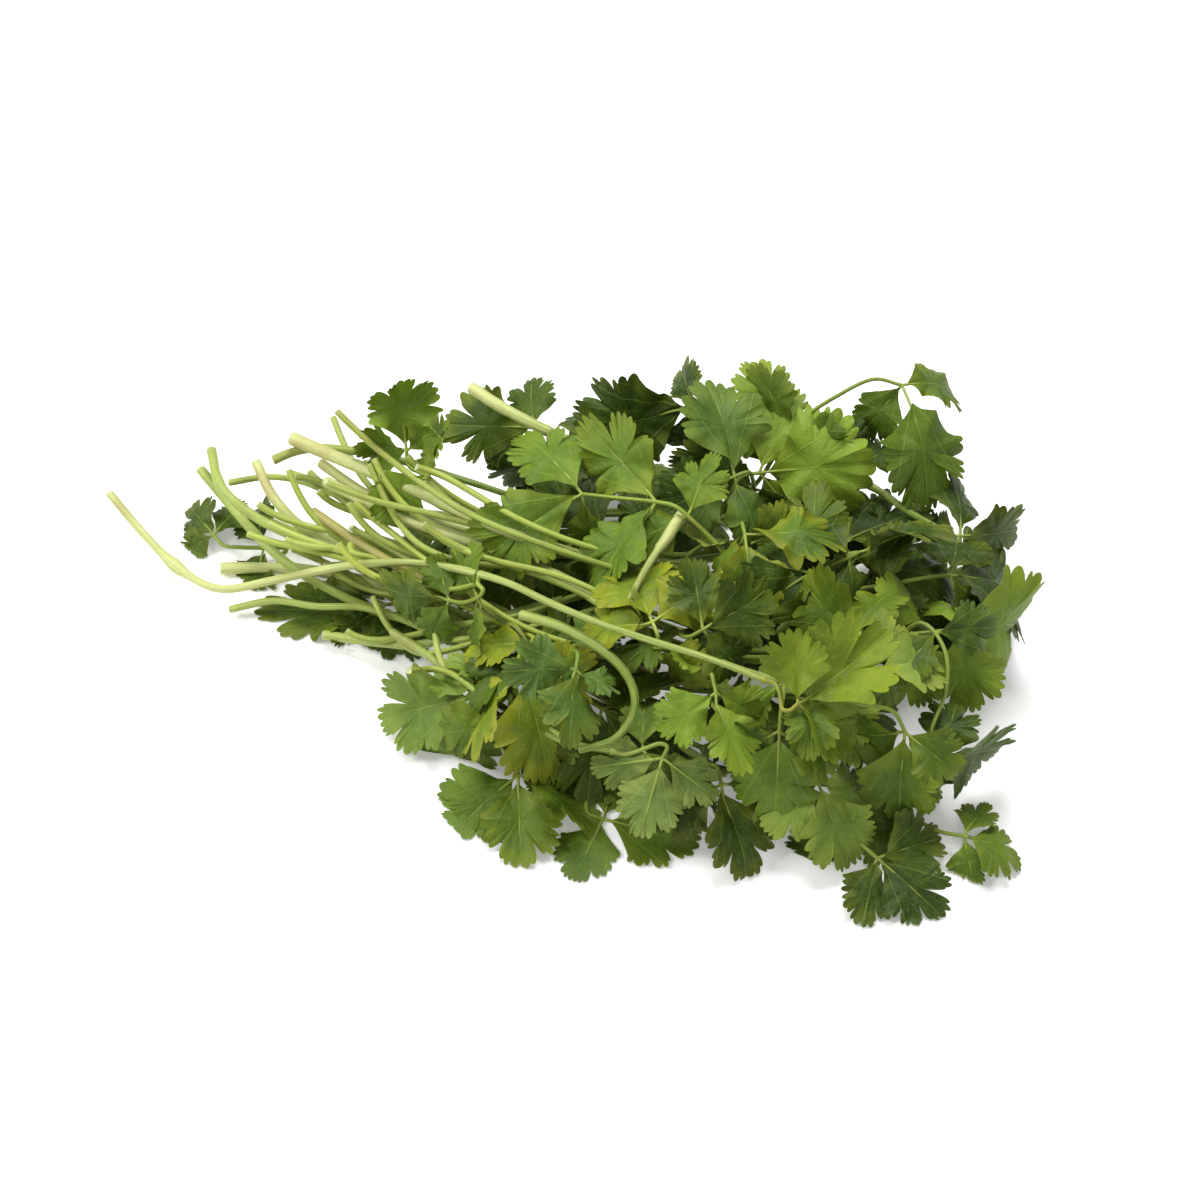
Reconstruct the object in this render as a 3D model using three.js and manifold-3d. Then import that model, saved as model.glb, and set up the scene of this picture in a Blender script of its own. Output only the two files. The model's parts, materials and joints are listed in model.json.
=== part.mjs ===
// A bunch of fresh coriander lying on a table: cut stems fan out on the left, the leafy
// head spreads to the right, and every leaf is a thin stalk that forks into leaflets.
// Millimetres, +Z up, +X from the cut ends towards the leaves, +Y away from the front.

import * as THREE from 'three';
import { mergeVertices } from 'three/addons/utils/BufferGeometryUtils.js';
import Module from 'manifold-3d';

const manifoldLibrary = await Module();
manifoldLibrary.setup();
const { Manifold, Mesh: SolidMesh } = manifoldLibrary;

// ---------------------------------------------------------------- driving dimensions

const GAP = 0.32;                 // clear air kept between neighbouring pieces
const STEM_STEPS = 14;            // sections along a stem
const STEM_SIDES = 6;
const STEM_END_RATIO = 0.62;      // a stem's far end against its cut end
const STALK_RADIUS = 0.85;        // leaf stalk where it leaves the stem
const STALK_TOP_RADIUS = 0.62;    // leaf stalk just under the fork
const STALK_STEPS = 6;
const RACHIS_STEPS = 2;           // sections between the two forks of a feathered leaf
const FORK_WIDTH = 1.05;          // half the width of the knuckle where leaflets part
const BLADE_THICKNESS = 0.75;     // at the midrib
const LEAFLET_STALK = 0.16;       // bare part of a leaflet against its whole length
const BLADE_WIDTH = 0.47;         // half width of a blade against the leaflet's length
const SIDE_ANGLE = 72;            // degrees from the middle leaflet to a side leaflet
const SIDE_LENGTH = 0.84;         // side leaflet against the middle one
const BLADE_BEND = 0.35;          // radians a blade droops from base to tip
const FLOOR_CLEARANCE = 0.15;     // lowest point of a piece that isn't the resting leaf
const HEEL_CLEARANCE = GAP * 2.2; // between a stalk's heel and the side of its stem
const STEM_SAMPLES = 40;          // places along a stem where a leaf may be rooted
const FIRST_SAMPLE = 4;
const LAST_SAMPLE = 38;
const LEAVING_RUN = 4;            // how far a stalk keeps the direction it left its stem in
const LEAVING_SHARE = 0.3;        // most of a short stalk that run may take
const APPROACH_RUN = 4.5;         // straight part of a stalk just under its fork

// Finding room for a piece: how far apart the places tried are, how much further they
// spread in height, and how many are tried before the piece is given up.
const NUDGE_STEP = 0.62;
const NUDGE_HEIGHT = 1.3;
const NUDGE_HEIGHT_TURN = 2.4;
const STEM_NUDGES = 400;
const LEAF_NUDGES = 900;
const LEAF_SHRINK = 0.15;         // most a leaf gets smaller while room is looked for
const SHRINK_NUDGES = 400;        // places tried by the time it is that small
const STEM_CUT_FREEDOM = 0.2;     // share of a nudge that a stem's cut end takes

// A blade's outline from its base to its tip: how far along the midrib the section sits,
// its half width, and how far its edges reach forward of the midrib. Wide sections are
// lobe tips and narrow ones are the notches between lobes.
const BLADE_SECTIONS = [
  { along: 0.00, width: 0.07, reach: 0.00 },
  { along: 0.10, width: 0.58, reach: -0.04 },
  { along: 0.30, width: 1.00, reach: 0.08 },
  { along: 0.44, width: 0.66, reach: 0.00 },
  { along: 0.62, width: 0.90, reach: 0.12 },
  { along: 0.78, width: 0.42, reach: 0.03 },
  { along: 0.90, width: 0.36, reach: 0.07 },
  { along: 1.00, width: 0.10, reach: 0.00 },
];

const COLOURS = {
  paleStem: '#a9b662',
  greenStem: '#8aa548',
  ruddyStem: '#8f7a3c',
  dark: '#3f5f22',
  mid: '#557a2b',
  blue: '#5b7d4a',
  light: '#7f9f42',
  yellow: '#a3a63a',
  pale: '#8fa263',
};

// ---------------------------------------------------------------- the stems

// Each stem from its cut end inwards: the radius there, its colour and the bends it
// passes through. The second one lies close under the first, like a side shoot of it.
const STEM_PLAN = [
  {
    radius: 1.6,
    colour: 'paleStem',
    bends: [
      [-146, 74, 15], [-125, 53, 5], [-109, 41, 7], [-87, 40, 14], [-67, 37, 23], [-46, 30, 32],
      [-21, 15, 42], [-2, -1, 48], [17, -13, 51], [38, -22, 52], [55, -29, 50],
    ],
  },
  {
    radius: 1.3,
    colour: 'greenStem',
    bends: [
      [-106, 36, 3], [-92, 37, 6], [-78, 33, 8], [-59, 30, 10], [-44, 22, 9], [-20, 8, 9], [0, -8, 7],
      [36, -24, 5], [78, -34, 6],
    ],
  },
  {
    radius: 1.8,
    colour: 'greenStem',
    bends: [
      [-114, 86, 22], [-110, 71, 22], [-93, 56, 19], [-67, 44, 19], [-43, 29, 16], [0, 8, 15],
      [45, -6, 17], [84, -12, 20],
    ],
  },
  {
    radius: 1.8,
    colour: 'greenStem',
    bends: [
      [-118, 84, 15], [-105, 67, 13], [-88, 47, 12], [-60, 33, 6], [-20, 24, 4],
      [30, 14, 5], [92, 6, 10],
    ],
  },
  {
    radius: 1.9,
    colour: 'paleStem',
    bends: [
      [-99, 78, 25], [-95, 69, 23], [-85, 58, 18], [-62, 50, 14], [-20, 46, 12],
      [30, 48, 11], [86, 52, 18],
    ],
  },
  {
    radius: 1.7,
    colour: 'greenStem',
    bends: [[-93, 74, 30], [-83, 77, 32], [-62, 74, 33], [-36, 66, 31], [-12, 58, 28]],
  },
  {
    radius: 2.3,
    colour: 'paleStem',
    bends: [
      [-87, 78, 36], [-67, 67, 36], [-46, 53, 39], [-22, 36, 42], [0, 29, 39], [28, 24, 33],
      [60, 20, 32], [88, 24, 32],
    ],
  },
  {
    radius: 1.8,
    colour: 'paleStem',
    bends: [[-78, 73, 30], [-62, 60, 29], [-38, 50, 27], [0, 42, 24], [42, 38, 21]],
  },
  {
    radius: 2.0,
    colour: 'paleStem',
    bends: [
      [-76, 65, 30], [-51, 48, 32], [-26, 34, 35], [-6, 24, 35], [24, 8, 31],
      [60, -2, 29], [92, 0, 30],
    ],
  },
  {
    radius: 2.1,
    colour: 'paleStem',
    bends: [
      [-110, 53, 3], [-86, 53, 3], [-66, 46, 7], [-44, 33, 12], [-22, 18, 14],
      [10, -4, 13], [48, -32, 10],
    ],
  },
  {
    radius: 1.7,
    colour: 'greenStem',
    bends: [
      [-76, 25, 4], [-61, 20, 7], [-44, 14, 13], [-27, 16, 20], [-6, 22, 23],
      [30, 30, 24], [70, 36, 24],
    ],
  },
  {
    radius: 1.2,
    colour: 'greenStem',
    bends: [
      [-109, 81, 12], [-92, 80, 16], [-77, 70, 20], [-60, 60, 22], [-26, 56, 20],
      [20, 60, 17], [62, 62, 22],
    ],
  },
  {
    radius: 1.7,
    colour: 'ruddyStem',
    bends: [[-80, 58, 24], [-62, 42, 25], [-40, 25, 26], [-10, 8, 24], [26, -4, 22]],
  },
  {
    radius: 2.2,
    colour: 'paleStem',
    bends: [[-31, 90, 46], [-22, 82, 46], [-8, 73, 45], [9, 65, 43], [20, 63, 42]],
  },
  {
    radius: 1.5,
    colour: 'greenStem',
    bends: [
      [-54, 18, 14], [-45, 10, 15], [-33, -2, 16], [-17, -16, 18],
      [-2, -29, 21], [12, -34, 23],
    ],
  },
  {
    radius: 1.8,
    colour: 'greenStem',
    bends: [
      [-14, 4, 39], [-2, -4, 43], [10, -13, 43], [17, -20, 40], [19, -27, 35],
      [14, -34, 30], [3, -36, 26],
    ],
  },
  {
    radius: 1.6,
    colour: 'paleStem',
    bends: [[34, 37, 47], [28, 25, 48], [22, 13, 48], [17, 3, 45]],
  },
  {
    radius: 1.5,
    colour: 'greenStem',
    bends: [[84, 62, 37], [94, 54, 38], [103, 46, 37], [112, 41, 35]],
  },
];

// ---------------------------------------------------------------- the leaves

// Each leaf: where its stalk forks, where its middle leaflet ends, the way its upper
// side faces, its colour, and where it differs from the usual leaf. "left" and "right"
// give a side leaflet's angle, length and rise; "root" is a point near which the stalk
// leaves a stem, and "via" are bends of a long stalk. "second" is the upper fork of a
// feathered leaf, which carries the middle leaflet and two more side leaflets.
const LEAF_PLAN = [
  {
    name: 'leaf_feathered',
    fork: [24, 36, 50], second: [2, 41, 48], tip: [-28, 22, 46], face: [0, -0.3, 0.95], colour: 'light',
    root: [46, 30, 38], left: [58, 0.82, -0.1], right: [44, 0.85, 0],
    upperLeft: [60, 0.55, -0.6], upperRight: [84, 0.8, 0.3], bend: 0.2, width: 0.36,
  },
  {
    name: 'leaf_left_front',
    fork: [-36, 17, 31], tip: [-58, 24, 28], face: [0, -0.65, 0.75], colour: 'mid',
    root: [-24, 17, 40], left: [66, 0.7, -0.15], right: [64, 0.6, 0.15], width: 0.4,
  },
  {
    name: 'leaf_left_low',
    fork: [-57, 38, 3], tip: [-86, 37, 3], face: [0, -0.1, 1], colour: 'dark',
    root: [-44, 29, 6], left: [36, 0.55, 0], right: [50, 0.5, 0], width: 0.3, bend: 0.1,
  },
  {
    name: 'leaf_low_left',
    fork: [-113, 64, 6], tip: [-123, 75, 9], face: [0.1, -0.4, 1], colour: 'dark',
    root: [-100, 52, 4], left: [70, 0.8, -0.2], right: [70, 0.9, 0.3],
  },
  {
    name: 'leaf_back_curl',
    fork: [-50, 64, 45], tip: [-52, 80, 60], face: [-0.25, -0.8, 0.5], colour: 'light',
    root: [-46, 53, 39], left: [80, 0.75, -0.5], right: [62, 0.6, 0.1], bend: -0.5,
  },
  {
    name: 'leaf_back_dark',
    fork: [-11, 77, 41], tip: [-36, 87, 34], face: [0, -0.7, 0.8], colour: 'dark',
    root: [4, 62, 34], left: [70, 0.9, -0.3], right: [70, 0.6, 0.1],
  },
  {
    name: 'leaf_crown_toothed',
    fork: [38, 75, 52], tip: [5, 72, 47], face: [0.1, -0.6, 0.8], colour: 'dark',
    root: [46, 60, 30], left: [62, 0.7, -0.5], right: [70, 0.45, 0.1], width: 0.44,
  },
  {
    name: 'leaf_crown_blue',
    fork: [50, 50, 49], tip: [30, 38, 51], face: [0.1, -0.55, 0.85], colour: 'blue',
    root: [66, 58, 32], left: [86, 0.98, -0.05], right: [104, 1.2, 0.25],
  },
  {
    name: 'leaf_crown_folded',
    fork: [62, 66, 47], tip: [58, 86, 60], face: [0.35, -0.85, 0.3], colour: 'light',
    root: [60, 50, 30], left: [66, 0.6, -0.4], right: [60, 0.6, -0.4], width: 0.4,
  },
  {
    name: 'leaf_crown_fan',
    fork: [58, 57, 43], tip: [86, 55, 49], face: [-0.1, -0.75, 0.75], colour: 'light',
    root: [40, 48, 26], left: [64, 0.75, 0.2], right: [60, 0.9, -0.2], width: 0.6, bend: 0.15,
  },
  {
    name: 'leaf_tall_back',
    fork: [100, 79, 59], tip: [111, 48, 54], face: [0.2, -0.35, 0.9], colour: 'dark',
    root: [50, 61, 43], via: [[70, 69, 54], [88, 78, 60]],
    left: [92, 0.6, 0.1], right: [60, 0.5, -0.3], width: 0.44, stalk: 0.3,
  },
  {
    name: 'leaf_small_back',
    fork: [88, 64, 43], tip: [84, 77, 50], face: [0, -0.8, 0.5], colour: 'dark',
    root: [84, 52, 22],
  },
  {
    name: 'leaf_right_back',
    fork: [118, 39, 34], tip: [122, 55, 45], face: [-0.2, -0.8, 0.6], colour: 'dark',
    root: 'end of stem 18', left: [84, 0.7, -0.1], right: [80, 1.1, -0.3],
  },
  {
    name: 'leaf_right_dark',
    fork: [112, 22, 35], tip: [142, 32, 26], face: [-0.1, -0.4, 0.9], colour: 'dark',
    root: [84, 24, 31], left: [62, 0.6, 0], right: [66, 0.7, -0.1], width: 0.5,
  },
  {
    name: 'leaf_right_light',
    fork: [112, 1, 35], tip: [137, 10, 27], face: [0, -0.5, 0.85], colour: 'light',
    root: [86, 2, 28], left: [60, 0.6, -0.3], right: [76, 0.75, -0.2], width: 0.52,
  },
  {
    name: 'leaf_middle_star',
    fork: [84, -8, 44], tip: [66, 4, 50], face: [0, -0.6, 0.8], colour: 'mid',
    root: [64, -8, 30],
  },
  {
    name: 'leaf_middle_hanging',
    fork: [50, 29, 47], tip: [54, 3, 47], face: [-0.2, -0.4, 0.9], colour: 'mid',
    root: [52, 34, 30], left: [82, 1.05, -0.1], right: [70, 0.6, -0.5], width: 0.36,
  },
  {
    name: 'leaf_middle_yellow',
    fork: [22, -4, 43], tip: [14, 17, 50], face: [0, -0.7, 0.7], colour: 'yellow',
    root: [24, -4, 24],
  },
  {
    name: 'leaf_front_blue',
    fork: [2, -19, 42], tip: [-1, -39, 38], face: [0, -0.7, 0.7], colour: 'blue',
    root: [-8, 2, 28], left: [70, 0.6, -0.1], right: [76, 0.9, 0.2],
  },
  {
    name: 'leaf_front_yellow',
    fork: [-9, -8, 37], tip: [1, -34, 29], face: [-0.1, -0.6, 0.8], colour: 'yellow',
    root: [-14, 8, 26], left: [58, 0.75, 0.1], right: [84, 0.95, 0.1],
  },
  {
    name: 'leaf_front_left',
    fork: [-27, -10, 12], tip: [-56, -11, 4], face: [-0.1, -0.4, 0.9], colour: 'pale',
    root: [-18, 4, 7], left: [58, 0.9, -0.1], right: [46, 0.62, 0.1], width: 0.42,
  },
  {
    name: 'leaf_front_point',
    fork: [-15, -32, 9], tip: [-14, -56, 4], face: [0, -0.5, 0.85], colour: 'mid',
    root: [-14, -14, 27], via: [[-21, -19, 22], [-20, -26, 14]],
    left: [66, 1.05, 0], right: [52, 1.0, -0.05],
  },
  {
    name: 'leaf_front_veined',
    fork: [27, -38, 25], tip: [20, -57, 11], face: [0.1, 0.75, -0.6], colour: 'pale',
    root: 'end of stem 15', left: [66, 0.9, 0.1], right: [70, 0.85, 0.1],
  },
  {
    name: 'leaf_front_deep',
    fork: [44, -42, 18], tip: [50, -62, 5], face: [0, -0.6, 0.8], colour: 'dark',
    root: [34, -22, 7],
  },
  {
    name: 'leaf_front_bright',
    fork: [42, -29, 44], tip: [46, -48, 36], face: [0.1, -0.7, 0.7], colour: 'light',
    root: [38, -10, 24], left: [60, 0.7, -0.3], right: [66, 0.85, -0.2],
  },
  {
    name: 'leaf_front_middle',
    fork: [60, -38, 38], tip: [58, -59, 25], face: [0.1, -0.7, 0.7], colour: 'mid',
    root: [60, -6, 24], left: [66, 0.75, -0.1], right: [50, 0.7, -0.2],
  },
  {
    name: 'leaf_middle_front',
    fork: [38, -9, 46], tip: [57, -3, 54], face: [0, -0.7, 0.7], colour: 'dark',
    root: [30, 4, 30],
  },
  {
    name: 'leaf_right_folded',
    fork: [96, -36, 35], tip: [93, -56, 20], face: [-0.2, -0.8, 0.5], colour: 'mid',
    root: [62, -26, 46], via: [[76, -33, 47], [88, -34, 43]], left: [56, 0.7, -0.2], right: [66, 0.7, -0.1],
  },
  {
    name: 'leaf_bright_curl',
    fork: [65, -32, 50], tip: [87, -19, 57], face: [0.1, -0.6, 0.8], colour: 'yellow',
    root: 'end of stem 1', left: [58, 0.7, 0.2], right: [66, 0.75, -0.3],
  },
  {
    name: 'leaf_pale_green',
    fork: [88, -19, 43], tip: [107, -14, 43], face: [0.1, -0.6, 0.8], colour: 'pale',
    root: [84, -12, 22], left: [66, 0.8, 0], right: [60, 0.8, -0.3],
  },
  {
    name: 'leaf_front_corner_pale',
    fork: [73, -47, 27], tip: [82, -64, 12], face: [0.1, -0.7, 0.7], colour: 'pale',
    root: [74, -22, 16], left: [60, 0.7, 0], right: [64, 0.75, -0.1],
  },
  {
    name: 'leaf_right_front',
    fork: [105, -40, 28], tip: [129, -37, 19], face: [0, -0.6, 0.8], colour: 'dark',
    root: [92, 0, 40], via: [[104, -3, 44], [109, -14, 41], [107, -28, 35]],
    left: [66, 0.7, -0.1], right: [70, 0.85, -0.5],
  },
  {
    name: 'leaf_corner',
    fork: [88, -62, 7], tip: [104, -76, 3], face: [0, -0.35, 0.95], colour: 'dark',
    root: [66, -30, 6], left: [60, 0.9, 0.05], right: [66, 0.8, 0],
  },
  {
    name: 'leaf_corner_small',
    fork: [114, -53, 4], tip: [129, -57, 7], face: [0, -0.4, 0.9], colour: 'mid',
    root: 'end of stem 2',
  },
  {
    name: 'leaf_inner_right',
    fork: [82, 38, 33], second: [92, 28, 34], tip: [100, 6, 32], face: [0, -0.4, 0.9], colour: 'dark',
    root: [64, 34, 22], upperLeft: [64, 0.8, -0.1], upperRight: [64, 0.8, -0.1],
  },
  {
    name: 'leaf_inner_middle',
    fork: [80, 26, 38], second: [68, 18, 40], tip: [52, 4, 40], face: [0, -0.4, 0.9], colour: 'dark',
    root: [60, 20, 30], upperLeft: [64, 0.8, -0.1], upperRight: [64, 0.8, -0.1],
  },
  {
    name: 'leaf_resting',
    fork: [10, -42, 0], tip: [34, -50, 0], face: [0, 0, -1], colour: 'mid',
    root: [2, -14, 8], left: [94, 0.8, 0], right: [94, 0.8, 0], width: 0.42, flat: true,
  },
  {
    name: 'leaf_core_front',
    fork: [2, -2, 28], second: [14, -10, 27], tip: [34, -26, 24], face: [0, -0.5, 0.85], colour: 'dark',
    root: [-18, 14, 25], upperLeft: [64, 0.8, -0.1], upperRight: [64, 0.9, -0.1],
  },
  {
    name: 'leaf_core_left',
    fork: [4, 30, 27], second: [-8, 26, 28], tip: [-32, 12, 27], face: [0, -0.4, 0.9], colour: 'dark',
    root: [24, 28, 24], upperLeft: [64, 0.8, -0.1], upperRight: [64, 0.9, -0.1],
  },
  {
    name: 'leaf_low_right',
    fork: [94, 40, 10], second: [106, 36, 8], tip: [128, 26, 4], face: [0, -0.2, 0.95], colour: 'dark',
    root: [70, 48, 14], upperLeft: [64, 0.8, 0], upperRight: [64, 0.8, 0],
  },
  {
    name: 'leaf_low_back',
    fork: [2, 66, 12], second: [16, 70, 10], tip: [42, 76, 5], face: [0, -0.2, 0.95], colour: 'dark',
    root: [-20, 54, 16], upperLeft: [64, 0.8, 0], upperRight: [64, 0.8, 0],
  },
  {
    name: 'leaf_inner_low',
    fork: [54, 2, 13], second: [66, -2, 12], tip: [90, -12, 9], face: [0, -0.2, 0.95], colour: 'dark',
    root: [36, 14, 8], upperLeft: [64, 0.8, 0], upperRight: [64, 0.8, 0],
  },
];

// ---------------------------------------------------------------- small helpers

const vector = ([x, y, z]) => new THREE.Vector3(x, y, z);

// The part of a direction that stands square to an axis, one unit long.
function squareTo(direction, axis) {
  return direction.clone().addScaledVector(axis, -direction.dot(axis)).normalize();
}

// Nudges that spiral outwards, for finding room for a piece in a crowded bunch.
function nudge(attempt) {
  const goldenAngle = Math.PI * (3 - Math.sqrt(5));
  const distance = NUDGE_STEP * Math.sqrt(attempt);
  const height = NUDGE_HEIGHT * distance * Math.cos(attempt * NUDGE_HEIGHT_TURN);
  return new THREE.Vector3(
    distance * Math.cos(attempt * goldenAngle),
    distance * Math.sin(attempt * goldenAngle),
    height,
  );
}

function solidOf(geometry) {
  const welded = mergeVertices(new THREE.BufferGeometry().setAttribute(
    'position',
    geometry.getAttribute('position'),
  ).setIndex(geometry.getIndex()), 1e-4);
  return new Manifold(new SolidMesh({
    numProp: 3,
    vertProperties: new Float32Array(welded.getAttribute('position').array),
    triVerts: new Uint32Array(welded.getIndex().array),
  }));
}

// ---------------------------------------------------------------- finding room

const placed = [];

function boxesMeet(first, second) {
  return [0, 1, 2].every((axis) => first.min[axis] < second.max[axis] && second.min[axis] < first.max[axis]);
}

function isClear(solid) {
  const box = solid.boundingBox();
  return placed.every((other) => !boxesMeet(box, other.box) || solid.intersect(other.solid).isEmpty());
}

// Tries a piece at its own place first and then at nudged places, and keeps the first
// that leaves a gap all round and stays above the table. "shape" makes the piece for a
// nudge, with some skin added while room is being looked for.
function firstClear(name, shape, mostAttempts) {
  for (let attempt = 0; attempt < mostAttempts; attempt += 1) {
    const padded = solidOf(shape(nudge(attempt), GAP, attempt));
    if (padded.status() === 'NoError' && padded.volume() > 0 && isClear(padded)) {
      const geometry = shape(nudge(attempt), 0, attempt);
      const solid = solidOf(geometry);
      placed.push({ solid, box: solid.boundingBox() });
      return geometry;
    }
  }
  throw new Error(`no room found for ${name}`);
}

// ---------------------------------------------------------------- stems

function stemGeometry(plan, curve, skin) {
  const section = new THREE.Shape();
  for (let side = 0; side < STEM_SIDES; side += 1) {
    const turn = (side / STEM_SIDES) * Math.PI * 2;
    const corner = [(plan.radius + skin) * Math.cos(turn), (plan.radius + skin) * Math.sin(turn)];
    if (side === 0) {
      section.moveTo(...corner);
    } else {
      section.lineTo(...corner);
    }
  }
  const geometry = new THREE.ExtrudeGeometry(section, {
    steps: STEM_STEPS,
    bevelEnabled: false,
    extrudePath: curve,
  });
  const centres = curve.getSpacedPoints(STEM_STEPS);
  const position = geometry.getAttribute('position');
  const point = new THREE.Vector3();
  for (let index = 0; index < position.count; index += 1) {
    point.fromBufferAttribute(position, index);
    const distances = centres.map((centre) => centre.distanceTo(point));
    const nearest = distances.indexOf(Math.min(...distances));
    const taper = 1 - (1 - STEM_END_RATIO) * (nearest / STEM_STEPS);
    const shrink = (plan.radius * taper + skin) / (plan.radius + skin);
    point.sub(centres[nearest]).multiplyScalar(shrink).add(centres[nearest]);
    position.setXYZ(index, point.x, point.y, point.z);
  }
  return geometry;
}

function stemCurve(plan, offset) {
  const bends = plan.bends.map(vector);
  const last = bends.length - 1;
  const moved = bends.map((bend, index) => {
    const freedom = THREE.MathUtils.lerp(STEM_CUT_FREEDOM, 1, Math.min(1, (2 * index) / last));
    const next = bend.clone().addScaledVector(offset, freedom);
    next.z = Math.max(next.z, plan.radius + FLOOR_CLEARANCE);
    return next;
  });
  return new THREE.CatmullRomCurve3(moved, false, 'centripetal');
}

// ---------------------------------------------------------------- leaves

// Collects the corners and faces of one leaf. Rings run left, over the top, right and
// back underneath, seen along the way the leaf grows.
class Skin {
  constructor() {
    this.corners = [];
    this.faces = [];
  }

  corner(point) {
    this.corners.push(point.x, point.y, point.z);
    return this.corners.length / 3 - 1;
  }

  ring(points) {
    return points.map((point) => this.corner(point));
  }

  wall(lower, upper) {
    lower.forEach((corner, index) => {
      const next = (index + 1) % lower.length;
      this.faces.push(corner, lower[next], upper[next]);
      this.faces.push(corner, upper[next], upper[index]);
    });
  }

  geometry() {
    const geometry = new THREE.BufferGeometry();
    geometry.setAttribute('position', new THREE.Float32BufferAttribute(this.corners, 3));
    geometry.setIndex(this.faces);
    geometry.computeVertexNormals();
    return geometry;
  }
}

// A five-cornered section of a stalk: two top corners, two sides and a keel below.
function stalkRing(centre, along, up, halfWidth, halfHeight) {
  const right = new THREE.Vector3().crossVectors(along, up);
  return [[-1, 0], [-0.45, 0.85], [0.45, 0.85], [1, 0], [0, -1]].map(([across, height]) => (
    centre.clone().addScaledVector(right, across * halfWidth).addScaledVector(up, height * halfHeight)
  ));
}

// One leaflet: a short bare stalk and then a lobed blade, flat on top and thickest
// under its midrib. It grows from three corners of a fork.
function addLeaflet(skin, from, leaflet, extra) {
  const { base, along, up, length, halfWidth, bend, stalk } = leaflet;
  const right = new THREE.Vector3().crossVectors(along, up);
  const bladeLength = length * (1 - stalk);
  let lower = from;
  BLADE_SECTIONS.forEach((section) => {
    const place = (fraction) => {
      const angle = bend * Math.max(fraction, 0);
      const run = Math.abs(bend) < 1e-3 ? fraction : Math.sin(angle) / bend;
      const drop = Math.abs(bend) < 1e-3 ? 0 : (1 - Math.cos(angle)) / bend;
      const straight = fraction < 0 ? fraction : run;
      return base.clone()
        .addScaledVector(along, length * stalk + bladeLength * straight)
        .addScaledVector(up, -bladeLength * drop);
    };
    const angle = bend * section.along;
    const upHere = up.clone().multiplyScalar(Math.cos(angle)).addScaledVector(along, Math.sin(angle));
    const edge = place(section.along + section.reach).addScaledVector(upHere, extra);
    const halfSpan = halfWidth * section.width + extra;
    const depth = BLADE_THICKNESS * (0.35 + 0.65 * Math.sqrt(1 - section.along)) + extra;
    const upper = skin.ring([
      edge.clone().addScaledVector(right, -halfSpan),
      edge.clone().addScaledVector(right, halfSpan),
      place(section.along).addScaledVector(upHere, -depth),
    ]);
    skin.wall(lower, upper);
    lower = upper;
  });
  skin.faces.push(...lower);
}

function turned(along, up, degrees, rise) {
  const direction = along.clone().applyAxisAngle(up, THREE.MathUtils.degToRad(degrees));
  const raised = direction.clone().multiplyScalar(Math.cos(rise)).addScaledVector(up, Math.sin(rise));
  const upRaised = up.clone().multiplyScalar(Math.cos(rise)).addScaledVector(direction, -Math.sin(rise));
  return { along: raised, up: upRaised };
}

function addSideLeaflets(skin, ring, fork, along, up, length, left, right, blade, extra) {
  const [ringLeft, topLeft, topRight, ringRight, keel] = ring;
  const sides = [
    { from: [ringLeft, topLeft, keel], shape: left, sign: 1 },
    { from: [topRight, ringRight, keel], shape: right, sign: -1 },
  ];
  sides.forEach(({ from, shape, sign }) => {
    const [angle, ratio, rise] = shape;
    const side = turned(along, up, sign * angle, rise);
    const sideLength = length * ratio;
    addLeaflet(skin, from, {
      ...blade,
      ...side,
      base: fork,
      length: sideLength,
      halfWidth: sideLength * Math.min(blade.width, BLADE_WIDTH),
      stalk: LEAFLET_STALK,
    }, extra);
  });
}

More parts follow.
